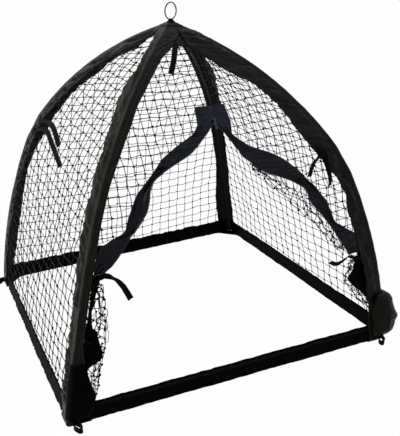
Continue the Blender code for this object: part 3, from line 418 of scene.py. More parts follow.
TAUT = 0.97
sleeve_q = np.interp(
    np.linspace(0, 1, SLEEVE_ROWS), (RIDGES[0][3] - RIDGES[0][3][0]) / np.ptp(RIDGES[0][3]), STATIONS)
sleeves = []
for leg, name in enumerate(LEGS):
    surface = sleeve_surface(leg, sleeve_q)
    piece = cloth("sleeve_" + name, surface, CLOTH, polyester)
    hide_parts("leg_sleeve_" + name)
    length = float(np.ptp(RIDGES[leg][3]))
    width = widths(surface)
    sleeves.append(surface)

# Rod channels: a narrower strip of the same cloth goes round the inside of each pole and is sewn to the
# sleeve on both sides of it, so that the pole can't leave the ridge.
CHANNEL_RADIUS, CHANNEL_CLOTH, CHANNEL_PUCKER = 0.005, 0.0007, 0.0003
CHANNEL_SECTION = ((0.0135, 0.0049), (0.0115, 0.00495), (0.0095, 0.00495), (0.0078, 0.0048), (0.0066, 0.0036),
                   (0.0057, 0.0018))


def channel_surface(leg, q):
    """Rows of points from one seam, round the inside of the pole, to the other seam."""
    s = np.interp(q, STATIONS, RIDGES[leg][3])
    axis, normal, aside, behind, ahead = corner_frame(leg, q)
    seams = []
    for (across, outward), sign in ((behind, -1), (ahead, 1)):
        flat = []
        room = flange_reach(leg, (leg + sign) % 4, q) - 0.0006
        for d, depth in CHANNEL_SECTION:
            d = np.minimum(d, room)[:, None] if d > 0.0066 else d
            pucker = creases(s / 0.012 + depth * 900, depth * 1700 + leg + sign + 0 * s, 41) * CHANNEL_PUCKER
            flat.append(axis + outward * (depth + (pucker - CHANNEL_PUCKER))[:, None] + across * sign * d)
        seams.append(flat if sign < 0 else flat[::-1])
    start, end = (turn_to(direction, normal, aside) for direction in (-behind[0], ahead[0]))
    start, end = (np.where(angle > 0, angle - 2 * np.pi, angle) for angle in (start, end))
    arc = []
    for share in np.linspace(0, 1, 11):
        angle = start + (end - start) * share
        slack = creases(s / 0.015, share * 3 + leg + 0 * s, 43) * CHANNEL_PUCKER
        radius = (CHANNEL_RADIUS + np.abs(slack))[:, None]
        arc.append(axis + radius * (normal * np.cos(angle)[:, None] + aside * np.sin(angle)[:, None]))
    return np.stack(seams[0] + arc + seams[1], axis=1)


channel_q = sleeve_q[(sleeve_q > 0.75) & (sleeve_q < 20.9)][::2]
for leg, name in enumerate(LEGS):
    surface = channel_surface(leg, channel_q)
    piece = cloth("sleeve_channel_" + name, surface, CHANNEL_CLOTH, polyester)
    length = float(np.ptp(np.interp(channel_q, STATIONS, RIDGES[leg][3])))
    float(widths(surface).mean()) * length * TAUT

# Stitching: lockstitches of black polyester thread along the channel's seams and the hems, 5 mm apart so
# that they show. One Geometry Nodes tree lays them along any line; each is a short thread that dips at its ends.
# The thread's two plies show as slanting bands.
thread = material(
    "twisted_polyester_thread", "#1c1c1f", 0.45, {"Scale": 900.0, "Distortion": 2.0}, ("#161618", "#2a2a2d"),
    bump=(0.4, 0.0001), texture=("Wave", {"bands_direction": "DIAGONAL"}),
    specular_ior_level=0.3, sheen_weight=0.15, sheen_roughness=0.4)


def new_tree(name, sizes):
    """A Geometry Nodes tree that takes geometry and the named sizes, all in metres."""
    made = bpy.data.node_groups.new(name, "GeometryNodeTree")
    made.interface.new_socket("Geometry", in_out="INPUT", socket_type="NodeSocketGeometry")
    for size in sizes:
        made.interface.new_socket(size, in_out="INPUT", socket_type="NodeSocketFloat")
    made.interface.new_socket("Geometry", in_out="OUTPUT", socket_type="NodeSocketGeometry")
    return made, add(made, "NodeGroupInput")


def finish_tree(tree, source, look):
    """Ends a tree in Realize Instances and Set Material."""
    real = add(tree, "GeometryNodeRealizeInstances", {0: source})
    painted = add(tree, "GeometryNodeSetMaterial", {0: real.outputs[0]})
    painted.inputs["Material"].default_value = look
    add(tree, "NodeGroupOutput", {0: painted.outputs[0]})


def grow(name, tree, points, edges, sizes, look, marks=None):
    """Runs a tree over points joined by edges, and keeps the result as a plain mesh on the cage."""
    seedling = bpy.data.meshes.new(name)
    seedling.from_pydata(np.asarray(points, float).tolist(), np.asarray(edges).tolist(), [])
    for key, values in (marks or {}).items():
        seedling.attributes.new(key, "FLOAT", "POINT").data.foreach_set("value", np.asarray(values, np.float32))
    made = put(name, seedling)
    modifier = made.modifiers.new("grow", "NODES")
    modifier.node_group = tree
    for item in tree.interface.items_tree:
        if item.item_type == "SOCKET" and item.in_out == "INPUT" and item.name in sizes:
            modifier[item.identifier] = sizes[item.name]
    depsgraph = bpy.context.evaluated_depsgraph_get()
    grown = bpy.data.meshes.new_from_object(made.evaluated_get(depsgraph))
    made.modifiers.clear()
    made.data = grown
    grown.name = name
    for extra in [a.name for a in grown.attributes if a.name in (marks or {})]:
        grown.attributes.remove(grown.attributes[extra])
    grown.materials.clear()
    grown.materials.append(look)
    grown.polygons.foreach_set("material_index", np.zeros(len(grown.polygons), np.int32))
    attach(made, "cage")
    return made


stitch_tree, given = new_tree("stitches", ("Pitch", "Stitch Length", "Thread Radius"))
line = add(stitch_tree, "GeometryNodeMeshToCurve", {0: given.outputs["Geometry"]})
spots = add(stitch_tree, "GeometryNodeCurveToPoints", {0: line.outputs[0], "Length": given.outputs["Pitch"]},
            mode="LENGTH")
half_length = add(stitch_tree, "ShaderNodeMath", {0: given.outputs["Stitch Length"]}, {1: 0.5}, operation="MULTIPLY")
girth = add(stitch_tree, "ShaderNodeCombineXYZ", {
    0: given.outputs["Thread Radius"], 1: given.outputs["Thread Radius"], 2: half_length.outputs[0]})
bead = add(stitch_tree, "GeometryNodeMeshIcoSphere", values={"Radius": 1.0, "Subdivisions": 1})
laid = add(stitch_tree, "GeometryNodeInstanceOnPoints", {
    "Points": spots.outputs["Points"], "Instance": bead.outputs[0], "Rotation": spots.outputs["Rotation"],
    "Scale": girth.outputs[0]})
finish_tree(stitch_tree, laid.outputs[0], thread)
STITCH = {"Pitch": 0.005, "Stitch Length": 0.0038, "Thread Radius": 0.00036}


def stitch_lines(name, lines, sizes=STITCH):
    """Stitches along several lines of points."""
    points, edges = [], []
    for run in lines:
        first = len(points)
        points.extend(run)
        edges.extend((first + k, first + k + 1) for k in range(len(run) - 1))
    grow(name, stitch_tree, points, edges, sizes, thread)


def surface_line(surface, column, lift):
    """A line of points at a fractional column of a surface, raised off it."""
    low = int(column)
    part = column - low
    here, there = surface[:, low], surface[:, min(low + 1, surface.shape[1] - 1)]
    run = here * (1 - part) + there * part
    normal = unit(np.cross(np.gradient(run, axis=0), there - here))
    side = np.sign((normal * (run - np.array([HUB_X, 0, 0.2]))).sum(1, keepdims=True))
    return run + normal * side * lift


STITCH_LIFT = 0.0001
HEM_COLUMN = 2.6
SEAM_COLUMN = FLANGE_COLUMNS - 1 - (CHANNEL_SEAM / FLANGE) * FLANGE_COLUMNS + 0.9
for name, surface in zip(LEGS, sleeves):
    last = surface.shape[1] - 1
    lines = [surface_line(surface, column, CLOTH / 2 + STITCH_LIFT)[26:SLEEVE_ROWS - 10]
             for column in (HEM_COLUMN, last - HEM_COLUMN, SEAM_COLUMN, last - SEAM_COLUMN)]
    stitch_lines("sleeve_stitches_" + name, lines)

# Corner soles: a patch of stiff black cloth under each corner, sewn in between the two base bands, which the
# pole's tip stands on. Its free edge runs straight across the corner. The canvas is near black and dull, with
# threads that are drawn at 1 mm so that they show.
SOLE_SIDE, SOLE_LIFT, SOLE_INSET = 0.036, 0.0006, 0.002
BAND_CLOTH = 0.0007
FOOT = STATIONS[-1:]
band_cloth = material(
    "stiffened_polyester_canvas", "#060609", 0.55, {"Scale": 60.0, "Detail": 4.0}, ("#030305", "#09090d"),
    bump=(0.3, 0.001), relief=woven(0.001, 0.35, 0.0001),
    specular_ior_level=0.01, sheen_weight=0.01, sheen_roughness=0.5, sheen_tint=colour("#9a9aa6"))

for leg, name in enumerate(LEGS):
    place, _, _, (back, back_out), (fore, fore_out) = corner_frame(leg, FOOT)
    reach = np.linspace(SOLE_SIDE, 0.001, 12)[:, None]
    turn = np.linspace(0, 1, 7)[:, None]
    outer = np.concatenate([
        place + back_out * SKIN - back * reach,
        place + unit(back_out * (1 - turn) + fore_out * turn) * SKIN,
        place + fore_out * SKIN + fore * reach[::-1],
    ])
    near = place + back_out * (SKIN - SOLE_INSET) - back * (SOLE_SIDE - SOLE_INSET)
    far = place + fore_out * (SKIN - SOLE_INSET) + fore * (SOLE_SIDE - SOLE_INSET)
    inner = near + (far - near) * np.linspace(0, 1, len(outer))[:, None]
    rows = np.linspace(0, 1, 9)[:, None, None]
    surface = outer * (1 - rows) + inner * rows
    surface[..., 2] = SOLE_LIFT + noise(surface[..., 0] / 0.012, surface[..., 1] / 0.012, 47 + leg) * 0.0001
    piece = cloth("sole_" + name, surface, BAND_CLOTH, band_cloth)
    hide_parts("corner_sole_" + name)

# Base bands: a strip of stiff black cloth folded along the ground, with the netting sewn between its two
# layers at the top. The thread's pull puckers it, most along the back.
SIDES = ("front", "right", "back", "left")
BAND_PUCKER = (0.0007, 0.0008, 0.0016, 0.0011)
BAND_COLUMNS = 200
NET_OUT = 0.0042
BAND_HEIGHTS = np.concatenate([
    np.linspace(BAND_TOP, FOOT_Z + 0.0006, 12), [FOOT_Z + 0.0001, FOOT_Z, FOOT_Z + 0.0001],
    np.linspace(FOOT_Z + 0.0006, BAND_TOP - 0.0008, 12)])
BAND_LAYER = np.concatenate([np.zeros(12), [0.15, 0.5, 0.85], np.ones(12)])[:, None]


def face_point(side, q, share, depth):
    """Points on a face: a share of the way from its pole to the next, and a depth out of the poles' plane."""
    q, share, depth = np.broadcast_arrays(*(np.asarray(v, float) for v in (q, share, depth)))
    here, there, _, outward = face_frame(side, q)
    return here + (there - here) * share[..., None] + outward * depth[..., None]


q = (20 + (BAND_TOP - BAND_HEIGHTS) / (BAND_TOP - FOOT_Z))[:, None]
rise = ((BAND_HEIGHTS - FOOT_Z) / (BAND_TOP - FOOT_Z))[:, None]
grip = 0.25 + 0.75 * np.abs(2 * rise - 1)
end = (SKIN + 0.0003) / (BASE_SIDE - 0.02)
share = np.linspace(end, 1 - end, BAND_COLUMNS)[None, :]
x = share * BASE_SIDE
for side, name in enumerate(SIDES):
    pucker = BAND_PUCKER[side]
    gather = creases(x / 0.013 + rise * 0.7, rise * 1.1 + side * 3.3 + 0 * x, 51 + side)
    depth = NET_OUT - 0.00035 - 0.0009 * BAND_LAYER
    depth = depth + (gather * pucker - 0.4 * pucker) * grip
    depth = depth + noise(x / 0.09, rise * 0.5 + side, 55) * 0.0008 * np.sin(np.pi * share)
    surface = face_point(side, q, share, depth)
    ripple = noise(x / 0.012, side + 0 * x, 57) * pucker * 0.9
    surface[..., 2] += ripple * smooth((rise - 0.7) / 0.3) * np.where(rise > 0.02, 1, 0)
    surface[..., 2] = np.maximum(surface[..., 2], FOOT_Z - 0.0009)
    piece = cloth("band_" + name, surface, BAND_CLOTH, band_cloth)
    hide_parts("base_band_" + name)
    out = face_frame(side, np.array([20.5]))[3] * (BAND_CLOTH / 2 + STITCH_LIFT)
    stitch_lines("band_stitches_" + name, [surface[row] + out for row in (2, 3)])

# Net panels: knotted polyethylene twine, about 1.3 mm thick, in a mesh of 23.5 by 19.5 mm on the sides and
# 17 by 16 mm above the door. Strands run level and upright; each sags a little between its knots. The twine
# is near black, with its fibres as a faint mottle.
NET_SAG, NET_TUCK, NET_BOW = 0.006, 0.007, 0.17
STRAND_STEP, KNOT_MARGIN, STRAND_SLACK, STRAND_DROOP = 0.002, 0.004, 0.028, 0.03
TWINE = {"Thread Radius": 0.00066, "Knot Radius": 0.002}
netting = material("knotted_polyethylene_twine", "#060607", 0.5, {"Scale": 1400.0, "Detail": 2.0},
                   ("#020203", "#0b0b0c"), bump=(0.5, 0.0002), specular_ior_level=0.1)


def tube(tree, given, size, sides):
    """A closed tube along the given edges, in a tree whose input called size is its radius."""
    line = add(tree, "GeometryNodeMeshToCurve", {0: given.outputs["Geometry"]})
    ring = add(tree, "GeometryNodeCurvePrimitiveCircle", {"Radius": given.outputs[size]}, {"Resolution": sides})
    return add(tree, "GeometryNodeCurveToMesh", {0: line.outputs[0], 1: ring.outputs[0]}, {"Fill Caps": True})


net_tree, given = new_tree("knotted_net", ("Thread Radius", "Knot Radius"))
twine = tube(net_tree, given, "Thread Radius", 4)
marked = add(net_tree, "GeometryNodeInputNamedAttribute", values={"Name": "knot"}, data_type="FLOAT")
corner = add(net_tree, "GeometryNodeMeshToPoints", {
    "Mesh": given.outputs["Geometry"], "Selection": marked.outputs["Attribute"]})
knot = add(net_tree, "GeometryNodeMeshIcoSphere", values={"Radius": 1.0, "Subdivisions": 1})
spread = add(net_tree, "FunctionNodeRandomValue", values={2: 0.75, 3: 1.2, "Seed": 3}, data_type="FLOAT")
size = add(net_tree, "ShaderNodeMath", {0: given.outputs["Knot Radius"], 1: spread.outputs[1]}, operation="MULTIPLY")
turned = add(net_tree, "FunctionNodeRandomValue", values={0: (0, 0, 0), 1: (6.28, 6.28, 6.28), "Seed": 5},
             data_type="FLOAT_VECTOR")
knots = add(net_tree, "GeometryNodeInstanceOnPoints", {
    "Points": corner.outputs[0], "Instance": knot.outputs[0], "Rotation": turned.outputs[0],
    "Scale": size.outputs[0]})
both = add(net_tree, "GeometryNodeJoinGeometry")
net_tree.links.new(knots.outputs[0], both.inputs[0])
net_tree.links.new(twine.outputs[0], both.inputs[0])
finish_tree(net_tree, both.outputs[0], netting)


def net_edges(side, q):
    """Shares of the face where its net starts under the flanges and where it comes out of them."""
    here, there, _, _ = face_frame(side, q)
    chord = np.linalg.norm(there - here, axis=-1)
    first = flange_reach(side, (side + 1) % 4, q)
    second = flange_reach((side + 1) % 4, side, q)
    return (first - NET_TUCK) / chord, first / chord, 1 - second / chord, 1 - (second - NET_TUCK) / chord


EDGE_TABLE = [np.stack(net_edges(side, STATIONS), axis=1) for side in range(4)]
CHORDS = [np.linalg.norm(RIDGES[(side + 1) % 4][0] - RIDGES[side][0], axis=1) for side in range(4)]


def net_depth(side, q, share):
    """Depth of a net on its face: it sags inwards, most in the middle."""
    edges = at_station(EDGE_TABLE[side], q)
    inside = np.clip((share - edges[..., 1]) / np.maximum(edges[..., 2] - edges[..., 1], 1e-6), 0, 1)
    run = np.clip((q - 2) / 18, 0, 1)
    return NET_OUT - 0.0005 - NET_SAG * np.sin(np.pi * inside) ** 2 * np.sin(np.pi * run)


def lengths_along(path):
    """Length from the start of a line to each of its points."""
    return np.concatenate([[0], np.cumsum(np.linalg.norm(np.diff(path, axis=0), axis=1))])


def net_web(side, across, down, inside, seed):
    """Knots and sagging strands of a square-meshed net, cut where inside(q, share) ends."""
    rng = np.random.default_rng(seed)
    jitter = rng.normal(0, 1, (90, 90, 3)) * (0.0009, 0.0008, 0.0012)
    travel = lengths_along(face_point(side, STATIONS, 0.5, NET_OUT))
    top = travel[100]
    points, marks, edges, knots = [], [], [], {}

    def add_point(t, s, depth, mark):
        q = np.interp(t, travel, STATIONS)
        share = 0.5 + s / np.interp(q, STATIONS, CHORDS[side])
        points.append(face_point(side, q, share, net_depth(side, q, share) + depth))
        marks.append(mark)
        return len(points) - 1

    def knot_at(j, i):
        """The knot of level strand j and upright strand i, made when it is first asked for."""
        if (j, i) not in knots:
            s = i * across
            t = j * down - NET_BOW * s * s
            slow = noise(np.array([s / 0.09]), np.array([t / 0.11]), seed + 9)[0] * 0.003
            dt, ds, depth = jitter[j % 90, i % 90]
            knots[j, i] = add_point(t + dt, s + ds + slow, depth, 1.0)
        return knots[j, i]

    def weave(fixed, level):
        """One strand, level or upright, in as many lengths as inside leaves of it."""
        if level:
            s = np.arange(-BASE_SIDE / 2 - 0.02, BASE_SIDE / 2 + 0.02, STRAND_STEP)
            t, moving, pitch = fixed * down - NET_BOW * s * s, s, across
        else:
            t = np.arange(top, travel[-1], STRAND_STEP)
            s = np.full(len(t), fixed * across)
            moving, pitch = t + NET_BOW * s * s, down
        q = np.interp(t, travel, STATIONS)
        share = 0.5 + s / np.interp(q, STATIONS, CHORDS[side])
        kept = inside(q, share) & (t > top)
        turns = np.flatnonzero(np.diff(np.concatenate([[False], kept, [False]]).astype(int)))
        for start, stop in zip(turns[::2], turns[1::2] - 1):
            if stop - start < 3:
                continue
            low, high = moving[start], moving[stop]
            chain = [add_point(t[start], s[start], 0.0, 0.0)]
            for k in range(int(math.ceil(low / pitch)), int(math.floor(high / pitch)) + 1):
                if low + KNOT_MARGIN < k * pitch < high - KNOT_MARGIN:
                    chain.append(knot_at(fixed, k) if level else knot_at(k, fixed))
            chain.append(add_point(t[stop], s[stop], 0.0, 0.0))
            for a, b in zip(chain, chain[1:]):
                gap = points[b] - points[a]
                length = np.linalg.norm(gap)
                slack = rng.normal(0, STRAND_SLACK, 3) * length
                slack[2] -= (STRAND_DROOP if level else 0.0) * length
                first = len(points)
                points.extend(points[a] + gap * part + slack * 0.9 for part in (0.33, 0.67))
                marks.extend((0.0, 0.0))
                edges.extend([(a, first), (first, first + 1), (first + 1, b)])

    for j in range(int(travel[-1] / down) + 2):
        weave(j, True)
    half = int(BASE_SIDE / across / 2) + 2
    for i in range(-half, half + 1):
        weave(i, False)
    return np.array(points), edges, marks


def panel(name, webs, node=None, sizes=TWINE):
    """One net object from several webs."""
    points, edges, marks = [], [], []
    for web_points, web_edges, web_marks in webs:
        first = len(points)
        points.extend(web_points)
        edges.extend((a + first, b + first) for a, b in web_edges)
        marks.extend(web_marks)
    made = grow(name, net_tree, points, edges, sizes, netting, {"knot": marks})
    if node:
        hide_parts(node)


SIDE_MESH = (0.0235, 0.0195)
NET_TOPS, NET_FOOT = (2.4, 2.0, 2.0, 2.75), 20.12


def in_face(side):
    """The outline of a side's net, tucked under the flanges."""
    def inside(q, share):
        edges = at_station(EDGE_TABLE[side], q)
        return (q > NET_TOPS[side]) & (q < NET_FOOT) & (share > edges[..., 0]) & (share < edges[..., 3])
    return inside


for side in (1, 2, 3):
    panel("netting_" + SIDES[side], [net_web(side, *SIDE_MESH, in_face(side), 60 + side)], "net_" + SIDES[side])

# Front net: one piece of netting above the doorway, with a wing down to each leg. It is sewn under the outer
# edges of the zip's tapes, whose lines across the face are set here.
ZIP_TOP, ZIP_VERTEX, ZIP_SPLIT, ZIP_SEAM = 0.787, 0.7446, 0.475, 0.0016
TAPE_IN, TAPE_OUT, TAPE_TUCK = 0.0045, 0.0059, 0.006
FRONT_MESH = (0.017, 0.0158)
# Rows down each tape: height as a share of the peak's, and shares of the face's width at its two edges.
LEFT_HEIGHT = (0.73, 0.719, 0.7054, 0.6747, 0.6475, 0.627, 0.6203, 0.5929, 0.5695, 0.5482, 0.5258, 0.51, 0.5,
               0.493, 0.482, 0.4543, 0.4275, 0.415)
LEFT_OUTER = (0.369, 0.348, 0.29, 0.21, 0.182, 0.16, 0.147, 0.12, 0.112, 0.106, 0.101, 0.097, 0.072,
              0.032, 0.02, 0.014, 0.014, 0.016)
LEFT_INNER = (0.446, 0.425, 0.398, 0.34, 0.24, 0.19, 0.177, 0.175, 0.175, 0.17, 0.15, 0.134, 0.124,
              0.118, 0.109, 0.088, 0.0665, 0.04)
RIGHT_HEIGHT = (0.7054, 0.6781, 0.6509, 0.6236, 0.5964, 0.5725, 0.5418, 0.4941, 0.4226, 0.3783, 0.3135)
RIGHT_OUTER = (0.545, 0.6, 0.69, 0.75, 0.782, 0.802, 0.83, 0.862, 0.872, 0.944, 0.952)
RIGHT_INNER = (0.526, 0.548, 0.568, 0.6, 0.648, 0.74, 0.79, 0.794, 0.85, 0.868, 0.9)


def station_of(side, height, share=0.5):
    """The station of a face at a height, as a share of the peak's, and at a share of its width."""
    heights = face_point(side, STATIONS, share, NET_OUT)[:, 2]
    return float(np.interp(-height * PEAK_HEIGHT, -heights, STATIONS))


q_top, q_vertex = (station_of(0, height, ZIP_SPLIT) for height in (ZIP_TOP, ZIP_VERTEX))


def tape_edges(top, heights, outer, inner):
    """A tape's sewn edge and its zip edge, as shares of the face's width at q, and the stations of its rows."""
    rows = [station_of(0, height, share) for height, share in zip(heights, outer)]
    stations = [q_top, q_vertex] + rows
    split = ZIP_SPLIT + math.copysign(2 * ZIP_SEAM, top - ZIP_SPLIT)
    return (lambda q: np.interp(q, stations, (top, top) + outer),
            lambda q: np.interp(q, stations, (split, split) + inner), rows)


left_outer, left_inner, q_left = tape_edges(0.385, LEFT_HEIGHT, LEFT_OUTER, LEFT_INNER)
right_outer, right_inner, q_right = tape_edges(0.565, RIGHT_HEIGHT, RIGHT_OUTER, RIGHT_INNER)


def in_front(q, share):
    """The outline of the front net: above the zip's top, and outside each tape down to where it meets its leg."""
    edges = at_station(EDGE_TABLE[0], q)
    tuck = TAPE_TUCK / np.interp(q, STATIONS, CHORDS[0])
    left = (share < left_outer(q) + tuck) & (q < q_left[-4] - 0.2)
    right = (share > right_outer(q) - tuck) & (q < q_right[-1] - 0.36)
    above = q < q_top + 0.12
    return (q > NET_TOPS[0]) & (share > edges[..., 0]) & (share < edges[..., 3]) & (left | right | above)


panel("netting_front", [net_web(0, *FRONT_MESH, in_front, 70)], "net_front")

# Zip tapes: stiffened bands along the open edges of the door. Each is 34 mm wide and falls in a long curve;
# where it is drawn back it turns over on itself, so it looks narrow at the turns and broad between them. The
# satin is blue-black, with soft patches of shine.
TAPE_WIDTH, TAPE_CLOTH = 0.034, 0.0011
ROLL_SHARE, ROLL_LIMIT = 0.42, 0.009
TAPE_ROWS, TAPE_COLUMNS = 260, 21
tape_cloth = material(
    "stiffened_polyester_satin", "#08090c", 0.34, {"Scale": 45.0, "Detail": 5.0, "Roughness": 0.6},
    ("#030406", "#0e1219"), bump=(0.4, 0.0014), relief=woven(0.0008, 0.18, 0.0001),
    specular_ior_level=0.1, sheen_weight=0.03, sheen_roughness=0.35, sheen_tint=colour("#a9afc0"))


def tape_surface(inner, outer, q_end, seed):
    """Rows down a tape from the door's top; columns from its zip edge to its sewn edge."""
    q = np.linspace(q_top, q_end, TAPE_ROWS)
    chord = np.interp(q, STATIONS, CHORDS[0])
    s = lengths_along(face_point(0, q, outer(q), TAPE_IN))
    loose = smooth((q - q_vertex) / 0.6)
    near, far = (edge(q) * (1 - loose) + loose * smoothed(edge(q), 6) for edge in (inner, outer))
    spare = np.sqrt(np.maximum(TAPE_WIDTH**2 - (np.abs(far - near) * chord) ** 2, 0)) * ROLL_SHARE
    u = np.linspace(0, 1, TAPE_COLUMNS)[None, :]
    swing = noise(s / 0.085, 0 * s, seed)[:, None] * 2.4
    roll = (np.sin(2 * np.pi * u + swing) - np.sin(swing)) * 0.5
    depth = (TAPE_IN + TAPE_OUT) / 2 + np.minimum(spare, ROLL_LIMIT)[:, None] * roll * loose[:, None]
    depth = depth + creases(s[:, None] / 0.022 + u * 0.8, u * 1.7 + seed, seed + 1) * 0.0017 * loose[:, None]
    depth = depth + creases(s[:, None] / 0.009 - u * 0.9, u * 2.6 + seed, seed + 2) * 0.0006
    depth = np.maximum(depth, 0.0012)
    share = near[:, None] + (far - near)[:, None] * u
    share = share + (noise(s / 0.03, 0 * s + 2, seed + 3) * 0.0012 / chord * loose)[:, None] * (1 - u)
    return face_point(0, q[:, None], share, depth), s


tapes = {}
for name, inner, outer, q_end, seed in (
    ("left", left_inner, left_outer, q_left[-1], 81), ("right", right_inner, right_outer, q_right[-1], 87),
):
    surface, run = tape_surface(inner, outer, q_end, seed)
    piece = cloth("tape_" + name, surface, TAPE_CLOTH, tape_cloth)
    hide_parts("zip_tape_" + name)
    tapes[name] = surface

# Zip: a nylon coil sewn along the free edge of each tape. The two coils mesh above the slider.
COIL_PITCH, COIL_RADIUS, COIL_WIRE = 0.0024, 0.00075, 0.00036
coil_tree, given = new_tree("coil", ("Wire Radius",))
finish_tree(coil_tree, tube(coil_tree, given, "Wire Radius", 5).outputs[0], nylon)


def wound(run):
    """A helix of the coil's pitch and radius round a line of points."""
    lengths = lengths_along(run)
    t = np.arange(0, lengths[-1], COIL_PITCH / 8)
    centre = np.stack([np.interp(t, lengths, run[:, k]) for k in range(3)], axis=1)
    along = unit(np.gradient(centre, axis=0))
    first = unit(np.cross(along, UP + along * 0.01))
    turn = (2 * np.pi * t / COIL_PITCH)[:, None]
    return centre + COIL_RADIUS * (first * np.cos(turn) + np.cross(along, first) * np.sin(turn))


for name, surface in tapes.items():
    edge = surface[2:-2, 0]
    path = wound(edge + (edge - surface[2:-2, 1]) * 0.15)
    grow("zip_coil_" + name, coil_tree, path, [(k, k + 1) for k in range(len(path) - 1)],
         {"Wire Radius": COIL_WIRE}, nylon)
    lines = [surface_line(surface, column, 0.0008)[4:-4] for column in (1.6, TAPE_COLUMNS - 2.6)]
    stitch_lines("tape_stitches_" + name, lines)

# Zip hardware: a die-cast zinc slider with its pull, and a crimped stop at the top, all plated in dark nickel
# that handling has smeared.
black_nickel = material("black_nickel_plate", "#232325", 0.3, {"Scale": 900.0, "Detail": 3.0},
                        ("#18181a", "#323234"), (0.2, 0.42), metallic=1.0)
for node in ("zip_slider", "zip_pull", "zip_top_stop"):
    dress(node, black_nickel)

# Tie tapes: 10 mm polyester tape, sewn to the flanges by one end and cut straight at the other. Its ribs run
# across it, drawn at 1.3 mm so that they show on the dull black.
webbing = material(
    "ribbed_polyester_tape", "#040405", 0.6, {"Scale": 220.0, "Detail": 3.0}, ("#020203", "#070709"),
    relief=woven(0.0013, 0.7, 0.0002, ribs=True), specular_ior_level=0.03, sheen_weight=0.01)
TIE_WIDTH, TAPE_THICK, TIE_POINTS = 0.01, 0.0009, 40


def strap(name, path, across, width, body, curl=0.0006, seed=1, columns=7):
    """A tape along a path, as wide as width along the directions across."""
    path, across = np.asarray(path, float), np.asarray(across, float)
    along = unit(np.gradient(path, axis=0))
    across = unit(across - along * (across * along).sum(1)[:, None])
    out = np.cross(across, along)
    u = np.linspace(-1, 1, columns)
    s = np.linspace(0, len(path) * 0.1, len(path))
    cup = curl * (u[None, :] ** 2 - 0.4) + noise(s[:, None] * 3, u[None, :] * 0.8 + seed, seed) * 0.0004
    wide = np.broadcast_to(np.asarray(width, float), len(path))[:, None] * u[None, :] / 2
    surface = path[:, None] + across[:, None] * wide[..., None] + out[:, None] * cup[..., None]
    return cloth(name, surface, TAPE_THICK, webbing, body)


def through(points, count):
    """A smooth run of points through the given ones."""
    points = np.asarray(points, float)
    padded = np.concatenate([[2 * points[0] - points[1]], points, [2 * points[-1] - points[-2]]])
    t = np.linspace(0, len(points) - 1, count)
    k = np.minimum(t.astype(int), len(points) - 2)
    f = (t - k)[:, None]
    a, b, c, d = (padded[k + step] for step in range(4))
    return 0.5 * (2 * b + (c - a) * f + (2 * a - 5 * b + 4 * c - d) * f**2 + (3 * b - a - 3 * c + d) * f**3)


def loose_tie(name, side, spots, twist=(0.0, 0.0), lift=0.0):
    """A tape from its seam on a flange through (share, height) spots on the face, turned more and more on edge."""
    spots = through(spots, TIE_POINTS)
    part = np.linspace(0, 1, TIE_POINTS)
    q = np.array([station_of(side, height, share) for share, height in spots])
    wave = np.sin(part * 5 + side) * 0.0007 * part
    path = face_point(side, q, spots[:, 0], SKIN + 0.0003 + TAPE_THICK / 2 + wave + lift)
    outward = face_frame(side, q)[3]
    across = unit(np.cross(unit(np.gradient(path, axis=0)), outward))
    turn = (twist[0] * smooth(part / 0.35) + (twist[1] - twist[0]) * smooth(part))[:, None]
    across = across * np.cos(turn) + outward * np.sin(turn)
    path = path + outward * (np.abs(np.sin(turn)) * 0.005)
    piece = strap(name + "_cloth", path, across, TIE_WIDTH, name + "_tape", seed=len(name))
    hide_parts(name)
    round(float(lengths_along(path)[-1]), 3)


loose_tie("tie_peak", 0, ((0.3, 0.9422), (0.238, 0.8724)))
loose_tie("tie_front_right_short", 0, ((0.918, 0.6407), (0.896, 0.62), (0.852, 0.601), (0.813, 0.5682)),
          (-1.42, -1.42), 0.0015)
loose_tie("tie_front_right_long", 0, ((0.935, 0.636), (0.915, 0.608), (0.905, 0.585), (0.885, 0.5347)),
          (0.0, -1.75), 0.003)
loose_tie("tie_back_left_short", 3, ((0.071, 0.6646), (0.1, 0.6556), (0.16, 0.665), (0.262, 0.671),
                                     (0.376, 0.6575), (0.476, 0.64)), (0.5, 0.4), 0.0044)
loose_tie("tie_back_left_long", 3, ((0.054, 0.6286), (0.085, 0.6146), (0.14, 0.633), (0.236, 0.649),
                                    (0.39, 0.628), (0.57, 0.598)), (0.5, 0.3), 0.0044)

# Gathered netting: where the door is drawn back its net is slack, so it hangs under the right tape in doubled
# loops, and is bunched in two flaps against the front poles. A slack net closes up into narrow diamonds.
def slack_web(place, columns, rows, seed, rough=0.0016):
    """Knots and bowed strands of a slack net; place(u, v) gives a point, u along the net and v across it."""
    rng = np.random.default_rng(seed)
    knots = []
    for j in range(rows + 1):
        for i in range(columns + 1):
            u = np.clip((i + (0.24 if j % 2 else -0.24) + rng.normal(0, 0.16)) / columns, 0, 1)
            v = np.clip((j + rng.normal(0, 0.15)) / rows, 0, 1)
            knots.append(place(u, v) + rng.normal(0, rough, 3))
    points, marks, edges = list(knots), [1.0] * len(knots), []
    pairs = [(j * (columns + 1) + i, j * (columns + 1) + i + 1) for j in range(rows + 1) for i in range(columns)]
    pairs += [(j * (columns + 1) + i, (j + 1) * (columns + 1) + i) for j in range(rows) for i in range(columns + 1)]
    for a, b in pairs:
        gap = points[b] - points[a]
        slack = rng.normal(0, 0.11, 3) * np.linalg.norm(gap)
        first = len(points)
        for part in (0.3, 0.7):
            points.append(points[a] + gap * part + slack)
            marks.append(0.0)
        edges.extend([(a, first), (first, first + 1), (first + 1, b)])
    return points, edges, marks


